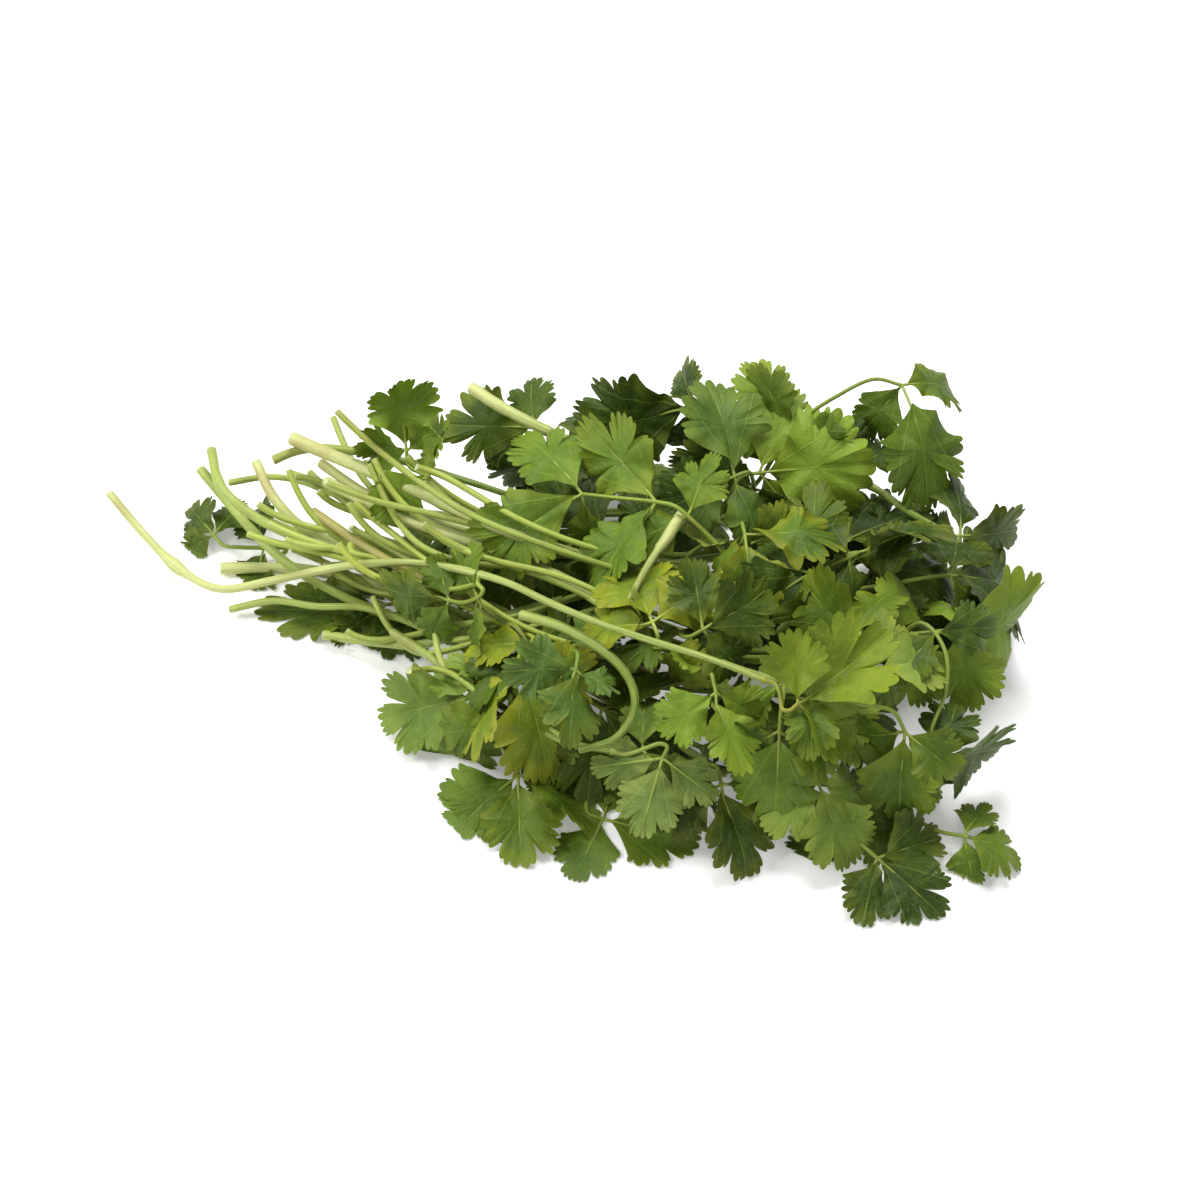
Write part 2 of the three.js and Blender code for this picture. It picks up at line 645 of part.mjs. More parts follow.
function leafGeometry(plan, root, leaving, offset, scale, extra) {
  const fork = vector(plan.fork).add(offset);
  const tip = vector(plan.tip).add(offset);
  const face = vector(plan.face);
  if (plan.flat) {
    fork.z = 0;
    tip.z = 0;
  }
  const second = plan.second ? vector(plan.second).add(offset) : null;
  const firstAim = (second ?? tip).clone().sub(fork).normalize();
  const up = squareTo(face, firstAim);

  const stalkTop = fork.clone();
  if (plan.flat) {
    stalkTop.z = STALK_TOP_RADIUS + extra;
  }
  const approach = stalkTop.clone().addScaledVector(firstAim, -APPROACH_RUN);
  const straight = fork.distanceTo(root);
  const via = (plan.via ?? []).map((bend) => vector(bend).addScaledVector(offset, 0.5));
  const start = root.clone().addScaledVector(leaving, Math.min(LEAVING_RUN, straight * LEAVING_SHARE));
  const curve = new THREE.CatmullRomCurve3([root, start, ...via, approach, stalkTop], false, 'centripetal');

  const sections = [];
  let upHere = up;
  for (let step = STALK_STEPS; step >= 0; step -= 1) {
    const fraction = step / STALK_STEPS;
    const along = step === STALK_STEPS ? firstAim : curve.getTangentAt(fraction);
    upHere = squareTo(upHere, along);
    const radius = THREE.MathUtils.lerp(STALK_RADIUS, STALK_TOP_RADIUS, fraction) + extra;
    const halfWidth = step === STALK_STEPS ? FORK_WIDTH + extra : radius;
    sections.unshift(stalkRing(curve.getPointAt(fraction), along, upHere, halfWidth, radius));
  }

  const skin = new Skin();
  const heel = skin.corner(root);
  let lower = skin.ring(sections[0]);
  lower.forEach((corner, index) => {
    skin.faces.push(heel, lower[(index + 1) % lower.length], corner);
  });
  sections.slice(1).forEach((points) => {
    const upper = skin.ring(points);
    skin.wall(lower, upper);
    lower = upper;
  });

  const blade = { bend: plan.flat ? 0 : plan.bend ?? BLADE_BEND, width: plan.width ?? BLADE_WIDTH };
  const left = plan.left ?? [SIDE_ANGLE, SIDE_LENGTH, -0.1];
  const right = plan.right ?? [SIDE_ANGLE, SIDE_LENGTH, -0.1];
  const lastFork = second ?? fork;
  const length = tip.distanceTo(lastFork) * scale;
  addSideLeaflets(skin, lower, fork, firstAim, up, length, left, right, blade, extra);

  let middle = [lower[1], lower[2], lower[4]];
  let aim = firstAim;
  let upAim = up;
  if (second) {
    aim = tip.clone().sub(second).normalize();
    upAim = squareTo(up, aim);
    for (let step = 1; step <= RACHIS_STEPS; step += 1) {
      const fraction = step / RACHIS_STEPS;
      const along = firstAim.clone().lerp(aim, fraction * 0.6).normalize();
      const halfWidth = step === RACHIS_STEPS ? FORK_WIDTH + extra : STALK_TOP_RADIUS + extra;
      const centre = fork.clone().lerp(second, fraction);
      const radius = STALK_TOP_RADIUS + extra;
      const upper = skin.ring(stalkRing(centre, along, squareTo(up, along), halfWidth, radius));
      if (step === 1) {
        const [topLeft, topRight, keel] = middle;
        const [newLeft, newTopLeft, newTopRight, newRight, newKeel] = upper;
        skin.faces.push(topLeft, topRight, newTopRight, topLeft, newTopRight, newTopLeft);
        skin.faces.push(topRight, newRight, newTopRight);
        skin.faces.push(topRight, keel, newKeel, topRight, newKeel, newRight);
        skin.faces.push(keel, topLeft, newLeft, keel, newLeft, newKeel);
        skin.faces.push(topLeft, newTopLeft, newLeft);
      } else {
        skin.wall(lower, upper);
      }
      lower = upper;
    }
    addSideLeaflets(skin, lower, second, aim, upAim, length, plan.upperLeft, plan.upperRight, blade, extra);
    middle = [lower[1], lower[2], lower[4]];
  }
  addLeaflet(skin, middle, {
    ...blade,
    base: lastFork,
    along: aim,
    up: upAim,
    length,
    halfWidth: length * blade.width,
    stalk: plan.stalk ?? LEAFLET_STALK,
  }, extra);
  return skin.geometry();
}

// ---------------------------------------------------------------- building the bunch

const bunch = new THREE.Group();
bunch.name = 'coriander_bunch';

function addPiece(name, geometry, colour) {
  const material = new THREE.MeshStandardMaterial({ color: COLOURS[colour], roughness: 0.55, metalness: 0 });
  const mesh = new THREE.Mesh(geometry, material);
  mesh.name = name;
  bunch.add(mesh);
}

const stems = STEM_PLAN.map((plan, index) => {
  const name = `stem_${String(index + 1).padStart(2, '0')}`;
  let curve;
  const geometry = firstClear(name, (offset, skin) => {
    curve = stemCurve(plan, offset);
    return stemGeometry(plan, curve, skin);
  }, STEM_NUDGES);
  addPiece(name, geometry, plan.colour);
  return { plan, curve };
});

// Where a leaf's stalk leaves the bunch of stems: at the end of a stem when the plan
// says so, and otherwise at the side of whichever stem passes closest to its root.
function leavingPoint(plan) {
  const fork = vector(plan.fork);
  if (typeof plan.root === 'string') {
    const stem = stems[Number(plan.root.split(' ').pop()) - 1];
    const along = stem.curve.getTangentAt(1);
    return { root: stem.curve.getPointAt(1).addScaledVector(along, GAP * 2), leaving: along };
  }
  const wanted = vector(plan.root);
  let best = { distance: Infinity };
  stems.forEach((stem) => {
    for (let sample = FIRST_SAMPLE; sample <= LAST_SAMPLE; sample += 1) {
      const fraction = sample / STEM_SAMPLES;
      const distance = stem.curve.getPointAt(fraction).distanceTo(wanted);
      if (distance < best.distance) {
        best = { distance, stem, fraction };
      }
    }
  });
  const along = best.stem.curve.getTangentAt(best.fraction);
  const centre = best.stem.curve.getPointAt(best.fraction);
  const outward = squareTo(fork.sub(centre), along);
  const taper = 1 - (1 - STEM_END_RATIO) * best.fraction;
  const radius = best.stem.plan.radius * taper;
  return {
    root: centre.addScaledVector(outward, radius + STALK_RADIUS + HEEL_CLEARANCE),
    leaving: outward.clone().multiplyScalar(0.6).addScaledVector(along, 0.8).normalize(),
  };
}

const lowestOf = (geometry) => {
  geometry.computeBoundingBox();
  return geometry.boundingBox.min.z;
};

LEAF_PLAN.forEach((plan) => {
  const { root, leaving } = leavingPoint(plan);
  const geometry = firstClear(plan.name, (offset, extra, attempt) => {
    const scale = 1 - LEAF_SHRINK * Math.min(1, attempt / SHRINK_NUDGES);
    const move = offset.clone();
    const shape = () => leafGeometry(plan, root, leaving, move, scale, extra);
    const lowest = lowestOf(shape());
    if (!plan.flat && lowest - FLOOR_CLEARANCE < 0) {
      move.z += FLOOR_CLEARANCE - lowest;
    }
    return shape();
  }, LEAF_NUDGES);
  addPiece(plan.name, geometry, plan.colour);
});

// The bunch stands with its lowest point on the table and its footprint centred.
const bounds = new THREE.Box3().setFromObject(bunch);
const middle = bounds.getCenter(new THREE.Vector3());
bunch.children.forEach((mesh) => {
  mesh.geometry.translate(-middle.x, -middle.y, -bounds.min.z);
});

export default bunch;
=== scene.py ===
import json
import math

import bpy
import numpy as np
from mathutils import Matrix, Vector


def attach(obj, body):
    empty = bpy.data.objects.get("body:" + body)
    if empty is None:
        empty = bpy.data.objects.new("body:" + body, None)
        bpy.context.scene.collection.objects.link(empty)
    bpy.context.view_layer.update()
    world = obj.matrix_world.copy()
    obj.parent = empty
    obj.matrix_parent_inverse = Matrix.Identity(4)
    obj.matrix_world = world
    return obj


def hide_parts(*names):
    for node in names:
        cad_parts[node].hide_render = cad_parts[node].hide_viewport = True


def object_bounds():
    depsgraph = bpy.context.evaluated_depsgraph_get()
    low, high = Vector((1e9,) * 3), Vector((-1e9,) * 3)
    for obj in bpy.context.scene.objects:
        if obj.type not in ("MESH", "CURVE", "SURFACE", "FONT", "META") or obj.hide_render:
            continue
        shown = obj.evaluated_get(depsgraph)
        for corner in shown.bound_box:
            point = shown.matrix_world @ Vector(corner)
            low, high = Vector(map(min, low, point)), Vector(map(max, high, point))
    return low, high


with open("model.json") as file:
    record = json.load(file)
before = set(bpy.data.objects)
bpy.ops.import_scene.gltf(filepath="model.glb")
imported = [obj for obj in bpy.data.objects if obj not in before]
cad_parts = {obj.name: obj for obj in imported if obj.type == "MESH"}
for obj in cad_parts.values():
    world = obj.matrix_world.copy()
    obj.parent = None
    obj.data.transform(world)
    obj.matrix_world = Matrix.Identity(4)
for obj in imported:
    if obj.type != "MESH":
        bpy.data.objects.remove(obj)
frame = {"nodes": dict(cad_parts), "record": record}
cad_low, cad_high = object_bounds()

# ---------------------------------------------------------------------------
# The camera. It looks down on the bunch from the front, well above the table, with a
# long lens, so the leafy head and the fanned stems are both seen from above.
# ---------------------------------------------------------------------------

VIEW_HEIGHT = math.radians(50)
VIEW_DISTANCE = 0.853
AIM_OFFSET = np.array([0.0119, 0.0129, 0.025])   # from the middle of the bunch's base

base_centre = np.array([(cad_low[0] + cad_high[0]) / 2, (cad_low[1] + cad_high[1]) / 2, cad_low[2]])
back = np.array([0, -math.cos(VIEW_HEIGHT), math.sin(VIEW_HEIGHT)])
lens = bpy.data.cameras.new("camera")
lens.lens = 85
lens.sensor_width = 36
lens.clip_start = 0.05
lens.clip_end = 20
camera = bpy.data.objects.new("camera", lens)
camera.location = base_centre + AIM_OFFSET + VIEW_DISTANCE * back
camera.rotation_euler = (math.pi / 2 - VIEW_HEIGHT, 0, 0)
bpy.context.collection.objects.link(camera)
bpy.context.scene.camera = camera

# ---------------------------------------------------------------------------
# The stems. Long, thin, watery stalks, pale and faintly ribbed where they were cut,
# greener towards the leaves, with soft pith in each cut end. They lie loose on one
# another and each runs along the line of its frame node.
# ---------------------------------------------------------------------------

STEM_RINGS = 84
STEM_SIDES = 18
STEM_FIT = 0.88          # shown radius against the frame node's
STEM_RIBS = 6
STEM_RIB_HEIGHT = 0.04   # against the stem's radius
STEM_WAVES = (9, 23, 41)  # slow swellings of a stem, in radians over its length
NODE_SIDES = 6           # corners of a section of a stem's frame node
WELD_REACH = 0.00002     # corners of a frame node that are closer than this are one corner
PATTERN_SCALE = 40       # how fast the skin's pattern runs along a rod, per metre
KNOT_REACH = 0.011       # half width of a swollen joint, against the stem's length
PLAIN_KNOT = 0.14        # how much thicker a stem is at its joint, where none is listed
# Swollen joints: how far along the stem each sits and how much thicker it is.
STEM_KNOTS = {
    "stem_01": ((0.13, 0.55), (0.145, 0.35)),
    "stem_03": ((0.06, 0.25),),
    "stem_04": ((0.34, 0.2),),
    "stem_07": ((0.3, 0.18),),
    "stem_10": ((0.12, 0.25),),
}

# The cut end's rings, from the sunken pith at its middle out to the skin: radius against the
# stem's, place along the stem in metres, and how much of the ring is pith. Then the far end's.
CUT_RINGS = np.array([
    [0.0, 0.0016, 0.4], [0.4, 0.0014, 0.5], [0.5, 0.0001, 0.9],
    [0.72, 0.0, 1.0], [0.95, 0.00004, 0.8], [1.0, 0.0003, 0.1],
])
FAR_RINGS = np.array([[1.0, -0.0002, 0.0], [0.88, 0.0, 0.5], [0.0, 0.00005, 1.0]])


def welded(node):
    """A frame node's corners, merged where they are within WELD_REACH, and its triangles."""
    mesh = frame["nodes"][node].data
    points = np.empty(len(mesh.vertices) * 3, np.float32)
    mesh.vertices.foreach_get("co", points)
    mesh.calc_loop_triangles()
    corners = np.empty(len(mesh.loop_triangles) * 3, np.int32)
    mesh.loop_triangles.foreach_get("vertices", corners)
    places, which = np.unique(np.round(points.reshape(-1, 3), 6) + 0.0, axis=0, return_inverse=True)
    apart = np.linalg.norm(places[:, None] - places, axis=2)
    kept, same = np.unique((apart < WELD_REACH).argmax(1), return_inverse=True)
    return places[kept].astype(float), same.ravel()[which.ravel()[corners]].reshape(-1, 3)


def neighbours(count, triangles):
    """Which corners share an edge, as a square table of true and false."""
    joined = np.zeros((count, count), bool)
    for first, second in ((0, 1), (1, 2), (2, 0)):
        joined[triangles[:, first], triangles[:, second]] = True
        joined[triangles[:, second], triangles[:, first]] = True
    return joined


def hops(joined, start):
    """How many edges each corner is from the starting corners."""
    away = np.where(start, 0, -1)
    front, count = start, 0
    while front.any():
        count += 1
        front = joined[front].any(0) & (away < 0)
        away[front] = count
    return away


def unit(vectors):
    """Each vector divided by its length."""
    return vectors / np.maximum(np.linalg.norm(vectors, axis=-1, keepdims=True), 1e-12)


def stem_line(node):
    """A stem's centre line and radius from its cut end: the means of its six-cornered sections."""
    places, triangles = welded(node)
    joined = neighbours(len(places), triangles)
    far_corner = places[hops(joined, np.arange(len(places)) == 0).argmax()]
    start = np.zeros(len(places), bool)
    start[np.argsort(np.linalg.norm(places - far_corner, axis=1))[:NODE_SIDES]] = True
    level = hops(joined, start)
    sections = [places[level == k] for k in range(level.max() + 1)]
    centres = np.array([section.mean(0) for section in sections])
    radii = np.array([np.linalg.norm(s - c, axis=1).mean() for s, c in zip(sections, centres)])
    return (centres, radii) if radii[0] > radii[-1] else (centres[::-1], radii[::-1])


def curve_through(points, count):
    """A Catmull-Rom curve: cubic spans that pass through every point with matching slopes."""
    padded = np.vstack([2 * points[0] - points[1], points, 2 * points[-1] - points[-2]])
    place = np.linspace(0, len(points) - 1, count)
    span = np.minimum(place.astype(int), len(points) - 2)
    part = (place - span)[:, None]
    a, b, c, d = (padded[span + k] for k in range(4))
    cubic = (3 * b - a - 3 * c + d) * part**3 + (2 * a - 5 * b + 4 * c - d) * part**2
    return 0.5 * (cubic + (c - a) * part + 2 * b)


def even_curve(points, count):
    """The same curve, with its points spaced evenly along its length."""
    fine = curve_through(points, 400)
    run = np.concatenate([[0], np.cumsum(np.linalg.norm(np.diff(fine, axis=0), axis=1))])
    wanted = np.linspace(0, run[-1], count)
    return np.stack([np.interp(wanted, run, fine[:, k]) for k in range(fine.shape[1])], 1)


def steady_axes(path):
    """Two directions across a path that don't spin about it: the first is carried along
    and kept square to the path at every point."""
    tangents = unit(np.gradient(path, axis=0))
    across = np.empty_like(tangents)
    side = np.cross(tangents[0], [0.31, 0.17, 0.94])
    for index, tangent in enumerate(tangents):
        side = unit(side - tangent * (side @ tangent))
        across[index] = side
    return tangents, across, np.cross(across, tangents)


def rod(path, at, radius, push, sides, looks, ribs=0, rib_height=0.0):
    """A closed rod. Ring i is a circle of radius[i] about path[at[i]], moved push[i] along the
    path; ribs swell it by rib_height * cos(ribs * angle). The first and last are single points."""
    tangents, across, above = steady_axes(path)
    middles = path[at] + tangents[at] * push[:, None]
    angles = np.arange(sides) / sides * 2 * np.pi
    swell = 1 + rib_height * np.cos(ribs * angles)
    inner = at[1:-1]
    spokes = across[inner][:, None] * np.cos(angles)[None, :, None]
    spokes = spokes - above[inner][:, None] * np.sin(angles)[None, :, None]
    wall = middles[1:-1][:, None] + spokes * (radius[1:-1][:, None] * swell)[:, :, None]
    points = np.vstack([middles[:1], wall.reshape(-1, 3), middles[-1:]])
    rows = len(at) - 2
    row, side = (grid.ravel() for grid in np.meshgrid(np.arange(rows - 1), np.arange(sides), indexing="ij"))
    a, b = 1 + row * sides + side, 1 + row * sides + (side + 1) % sides
    walls = np.stack([np.stack([a, b, b + sides], 1), np.stack([a, b + sides, a + sides], 1)], 1)
    around = np.arange(sides)
    onward = (around + 1) % sides
    last = rows * sides
    last_ring = last - sides + 1
    first_cap = np.stack([np.zeros(sides, int), 1 + onward, 1 + around], 1)
    last_cap = np.stack([np.full(sides, last + 1), last_ring + around, last_ring + onward], 1)
    length = np.concatenate([[0], np.cumsum(np.linalg.norm(np.diff(middles, axis=0), axis=1))])
    length = length * PATTERN_SCALE
    turn, step = around / sides, 1 / sides
    down, up = length[1:-1][row], length[1:-1][row + 1]
    left, right = turn[side], turn[side] + step
    wall_map = np.stack([np.stack([left, down, right, down, right, up], 1),
                         np.stack([left, down, right, up, left, up], 1)], 1)
    start, end = np.full(sides, length[0]), np.full(sides, length[-1])
    first_map = np.stack([turn + step / 2, start, turn + step, start, turn, start], 1)
    last_map = np.stack([turn + step / 2, end, turn, end, turn + step, end], 1)
    triangles = np.vstack([walls.reshape(-1, 3), first_cap, last_cap])
    return {
        "points": points,
        "triangles": triangles,
        "map": np.vstack([wall_map.reshape(-1, 6), first_map, last_map]).reshape(-1, 3, 2),
        "look": np.vstack([looks[:1], np.repeat(looks[1:-1], sides, axis=0), looks[-1:]]),
        "wears": np.zeros(len(triangles), np.int32),
    }


def make_piece(name, parts, materials):
    """One mesh from closed parts. Each part's triangles say which of the materials they wear."""
    starts = np.cumsum([0] + [len(part["points"]) for part in parts])
    points = np.vstack([part["points"] for part in parts])
    triangles = np.vstack([part["triangles"] + start for part, start in zip(parts, starts)])
    mesh = bpy.data.meshes.new(name)
    mesh.vertices.add(len(points))
    mesh.vertices.foreach_set("co", points.astype(np.float32).ravel())
    mesh.loops.add(triangles.size)
    mesh.loops.foreach_set("vertex_index", triangles.astype(np.int32).ravel())
    mesh.polygons.add(len(triangles))
    mesh.polygons.foreach_set("loop_start", np.arange(len(triangles), dtype=np.int32) * 3)
    for material in materials:
        mesh.materials.append(material)
    wears = np.concatenate([part["wears"] for part in parts])
    mesh.polygons.foreach_set("material_index", wears.astype(np.int32))
    layer = mesh.uv_layers.new(name="flat")
    layer.uv.foreach_set("vector", np.vstack([part["map"] for part in parts]).astype(np.float32).ravel())
    look = mesh.attributes.new("look", "FLOAT_VECTOR", "POINT")
    look.data.foreach_set("vector", np.vstack([part["look"] for part in parts]).astype(np.float32).ravel())
    mesh.update(calc_edges=True)
    mesh.shade_smooth()
    mesh.set_sharp_from_angle(angle=math.radians(60))
    piece = bpy.data.objects.new(name, mesh)
    bpy.context.collection.objects.link(piece)
    return piece


def add_node(tree, kind, inputs=None, **settings):
    """Adds a shader node, sets its properties and joins or sets its inputs."""
    made = tree.nodes.new(kind)
    for key, value in settings.items():
        setattr(made, key, value)
    for key, value in (inputs or {}).items():
        if isinstance(value, bpy.types.NodeSocket):
            tree.links.new(value, made.inputs[key])
        else:
            made.inputs[key].default_value = value
    return made


def maths(tree, operation, *values):
    """The result of one maths node."""
    return add_node(tree, "ShaderNodeMath", dict(enumerate(values)), operation=operation).outputs[0]


def blend(tree, share, first, second):
    """Two colours mixed by a share."""
    return add_node(tree, "ShaderNodeMix", {0: share, 6: first, 7: second}, data_type="RGBA").outputs[2]


def between(tree, value, start, end, low=0.0, high=1.0):
    """A smooth step from low to high as the value goes from start to end."""
    inputs = {"Value": value, "From Min": start, "From Max": end, "To Min": low, "To Max": high}
    return add_node(tree, "ShaderNodeMapRange", inputs, interpolation_type="SMOOTHSTEP").outputs[0]


def noise(tree, vector, scale, detail=3.0, roughness=0.5):
    """One noise value over the surface."""
    inputs = {"Vector": vector, "Scale": scale, "Detail": detail, "Roughness": roughness}
    return add_node(tree, "ShaderNodeTexNoise", inputs).outputs["Fac"]


def colour(red, green, blue):
    """A display colour from 0 to 255 as the linear colour a shader takes."""
    values = np.array([red, green, blue]) / 255
    linear = np.where(values <= 0.04045, values / 12.92, ((values + 0.055) / 1.055) ** 2.4)
    return (*linear.tolist(), 1.0)


def plant_surface(tree, shade, height, roughness, glow, bump_strength, specular):
    """Skin of a leaf or stem: a reflecting surface that also lets some light through."""
    relief = {"Strength": bump_strength, "Distance": 0.0005, "Height": height}
    bump = add_node(tree, "ShaderNodeBump", relief).outputs[0]
    finish = {"Base Color": shade, "Roughness": roughness, "Specular IOR Level": specular, "Normal": bump}
    skin = add_node(tree, "ShaderNodeBsdfPrincipled", finish)
    inside = add_node(tree, "ShaderNodeBsdfTranslucent", {"Color": shade, "Normal": bump})
    mixed = add_node(tree, "ShaderNodeMixShader", {0: glow, 1: skin.outputs[0], 2: inside.outputs[0]})
    surface = tree.nodes.new("ShaderNodeOutputMaterial")
    tree.links.new(mixed.outputs[0], surface.inputs["Surface"])


def stem_material(name, pale, green, blush):
    """Stem skin: pale at the cut and green further on, with lengthwise fibres, a brown blush
    here and there, and pith on the cut face."""
    material = bpy.data.materials.new(name)
    material.use_nodes = True
    tree = material.node_tree
    tree.nodes.clear()
    look = add_node(tree, "ShaderNodeAttribute", attribute_name="look").outputs["Vector"]
    along, cut, blushing = add_node(tree, "ShaderNodeSeparateXYZ", {0: look}).outputs
    place = add_node(tree, "ShaderNodeTexCoord").outputs["Object"]
    flat = add_node(tree, "ShaderNodeUVMap", uv_map="flat").outputs[0]
    fibres = add_node(tree, "ShaderNodeMapping", {"Vector": flat, "Scale": (13, 0.8, 1)}).outputs[0]
    streak = noise(tree, fibres, 1.6, 4.0, 0.6)
    broad = noise(tree, place, 55, 3.0)
    fine = noise(tree, place, 900, 3.0, 0.6)
    ageing = maths(tree, "ADD", along, maths(tree, "MULTIPLY_ADD", broad, 0.6, -0.3))
    shade = blend(tree, between(tree, ageing, 0.0, 0.8), pale, green)
    light = tuple(min(1.0, 1.3 * c + 0.05) for c in pale[:3]) + (1.0,)
    shade = blend(tree, between(tree, streak, 0.42, 0.68, 0.0, 0.6), shade, light)
    shade = blend(tree, between(tree, fine, 0.5, 0.8, 0.0, 0.3), shade, green)
    share = maths(tree, "MULTIPLY", between(tree, broad, 0.5, 0.72), blushing)
    shade = blend(tree, share, shade, blush)
    pith = blend(tree, between(tree, fine, 0.35, 0.7), colour(205, 212, 160), colour(232, 226, 196))
    shade = blend(tree, cut, shade, pith)
    height = maths(tree, "MULTIPLY_ADD", streak, 0.8, maths(tree, "MULTIPLY", fine, 0.25))
    plant_surface(tree, shade, height, between(tree, fine, 0.2, 0.8, 0.3, 0.48), 0.15, 0.5, 0.35)
    return material


# Each kind of stem's colours: at the cut, further on, and of its brown blush.
STEM_COLOURS = {
    "stem_pale": ((202, 207, 134), (142, 162, 66), (172, 140, 92)),
    "stem_green": ((166, 182, 90), (108, 136, 42), (156, 128, 70)),
    "stem_ruddy": ((168, 162, 88), (132, 126, 54), (134, 92, 54)),
}
STEM_LOOKS = {
    slot: stem_material(slot, *(colour(*shade) for shade in shades)) for slot, shades in STEM_COLOURS.items()
}

slot_of = {part["node"]: part["material_slot"] for part in frame["record"]["subparts"]}
stem_lines = {name: stem_line(name) for name in sorted(frame["nodes"]) if name.startswith("stem_")}

for order, (name, (centres, radii)) in enumerate(stem_lines.items()):
    chance = np.random.default_rng(100 + order)
    line = even_curve(np.column_stack([centres, radii]), STEM_RINGS)
    path, radius = line[:, :3], line[:, 3] * STEM_FIT
    run = np.linspace(0, 1, STEM_RINGS)
    for waves in STEM_WAVES:
        radius = radius * (1 + chance.uniform(0.01, 0.03) * np.sin(run * waves + chance.uniform(0, 6)))
    for where, size in STEM_KNOTS.get(name, ((chance.uniform(0.3, 0.7), PLAIN_KNOT),)):
        radius = radius * (1 + size * np.exp(-(((run - where) / KNOT_REACH) ** 2)))
    last = STEM_RINGS - 1
    middle = np.arange(1, last)
    plain = np.zeros(len(middle))
    at = np.concatenate([np.zeros(len(CUT_RINGS), int), middle, np.full(len(FAR_RINGS), last)])
    size = np.concatenate([CUT_RINGS[:, 0] * radius[0], radius[middle], FAR_RINGS[:, 0] * radius[-1]])
    push = np.concatenate([CUT_RINGS[:, 1], plain, FAR_RINGS[:, 1]])
    cut = np.concatenate([CUT_RINGS[:, 2], plain, FAR_RINGS[:, 2]])
    blush = np.where(at / last < 0.2, 0.36, 0.16)
    look = np.stack([at / last, cut, blush], 1)
    body = rod(path, at, size, push, STEM_SIDES, look, STEM_RIBS, STEM_RIB_HEIGHT)
    stem = make_piece("skin_" + name, [body], [STEM_LOOKS[slot_of[name]]])
    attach(stem, "root")
    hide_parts(name)

# ---------------------------------------------------------------------------
# The leaves. Each is a thin stalk that swells where it clasps its stem and forks into
# three or five leaflets: soft wedge-based blades cut into lobes with rounded teeth,
# dark and faintly glossy above, pale and matt below, where the veins stand proud.
# ---------------------------------------------------------------------------

# How far along a blade each section of a frame node's leaflet sits, from 0 to 1.
BLADE_STATIONS = np.array([0.10, 0.30, 0.44, 0.62, 0.78, 0.90, 1.00])
BLADE_RINGS = 8
LOWER_BLADE_RINGS = 5    # on the small leaflets low on a stalk
BLADE_THICKNESS = 0.00028
RIM_THINNING = 0.6       # share of the thickness that is gone at the very edge
BLADE_CENTRE = 0.4       # the rings of a blade close in on this place of its midrib
OUTLINE_RADIUS = 0.56    # of a blade's outline, in blade lengths
WEDGE_LENGTH = 0.08      # how far the wedge reaches back past the midrib's start
CURL_START = 0.35        # place along the midrib where the tip begins to curl
# A tooth's own places from its notch over its round tip, and the cuts between the lobes: the
# angle from the midrib, the share of the full depth, and how narrow, in degrees.
TOOTH_PLACES = np.array([0.0, 0.07, 0.2, 0.38, 0.52, 0.66, 0.82, 0.93])
LOBE_CUTS = ((36, 1.0, 6.0), (-36, 1.0, 6.0), (78, 0.5, 5.0), (-78, 0.5, 5.0))
STALK_MATERIAL = 2       # a leaf's materials are its upper skin, its underside and its stalk
STALK_SIDES = 10
STALK_RINGS = 40
STALK_RIBS = 5
STALK_RIB_HEIGHT = 0.06
STALK_RADIUS = 0.00085   # of a frame node's stalk where it leaves the stem
STALK_TOP_RADIUS = 0.00062
STALK_FIT = 0.92         # shown radius against the frame node's
STALK_FLARE = 0.5        # how much it swells where it clasps the stem
MIDRIB_RADIUS = 0.00042
MIDRIB_RINGS = 22
MIDRIB_PLACES = np.array([0.0, 0.15, 0.3, 0.5, 0.7, 0.86])
MIDRIB_GROOVE = 0.016    # how deep it lies in the upper skin, in blade lengths
# How much larger a shown blade is than its frame node's, which keeps clear of the others.
GROWTH = 1.22
INNER_GROWTH = 1.55
# Most leaves also carry pairs of small leaflets lower on the stalk: how far along it, how
# long in metres, and how far the pair leans towards the leaf's tip, in radians from square.
INNER_PAIRS = ((0.62, 0.018, 0.35), (0.34, 0.015, 0.3))
OUTER_PAIRS = ((0.45, 0.015, 0.35),)
PAIRED_STALK = 0.018     # shortest stalk, in metres, that carries a pair
LOWER_STALK = 0.16       # bare part of a small leaflet, in its own lengths
LOWER_WIDTH = 0.52       # its half width
# Leaves cut with the bunch have stalks that run back beside a stem to their own cut end.
RUNNING_RADIUS = 0.00105
RUNNING_RINGS = 70
RUNNING_TAPER = 0.28
RUNNING_START = (0.04, 0.24)    # where beside the stem it is cut, as a share of the stem
RUNNING_SHORTEST = 0.25         # least share of the stem that it runs along
RUNNING_REACH = 0.03            # furthest that the stem may be from the leaf, in metres
RUNNING_ASIDE = (0.003, 0.0065)  # how far beside the stem it lies
RUNNING_SWAY = (0.002, 0.006)
RUNNING_LIFTS = (-0.002, 0.0, 0.004)
RUNNING_BOW = ((0.0, 0.01), (-0.014, 0.014), (0.0, 0.016))   # how far its cut end arches, along x, y and z
RUNNING_CLEARANCE = 0.0013      # its middle's least height above the table
# Its cut face from the middle out: radius against its own, place along it in metres, pith.
RUNNING_CUT = np.array([[0.0, 0.0002, 0.8], [0.6, 0.0001, 1.0], [0.94, 0.0, 0.8], [1.0, 0.0002, 0.1]])
LONE_STEMS = ("stem_01", "stem_02", "stem_14", "stem_16", "stem_17", "stem_18")
TABLE_CLEARANCE = 0.0005

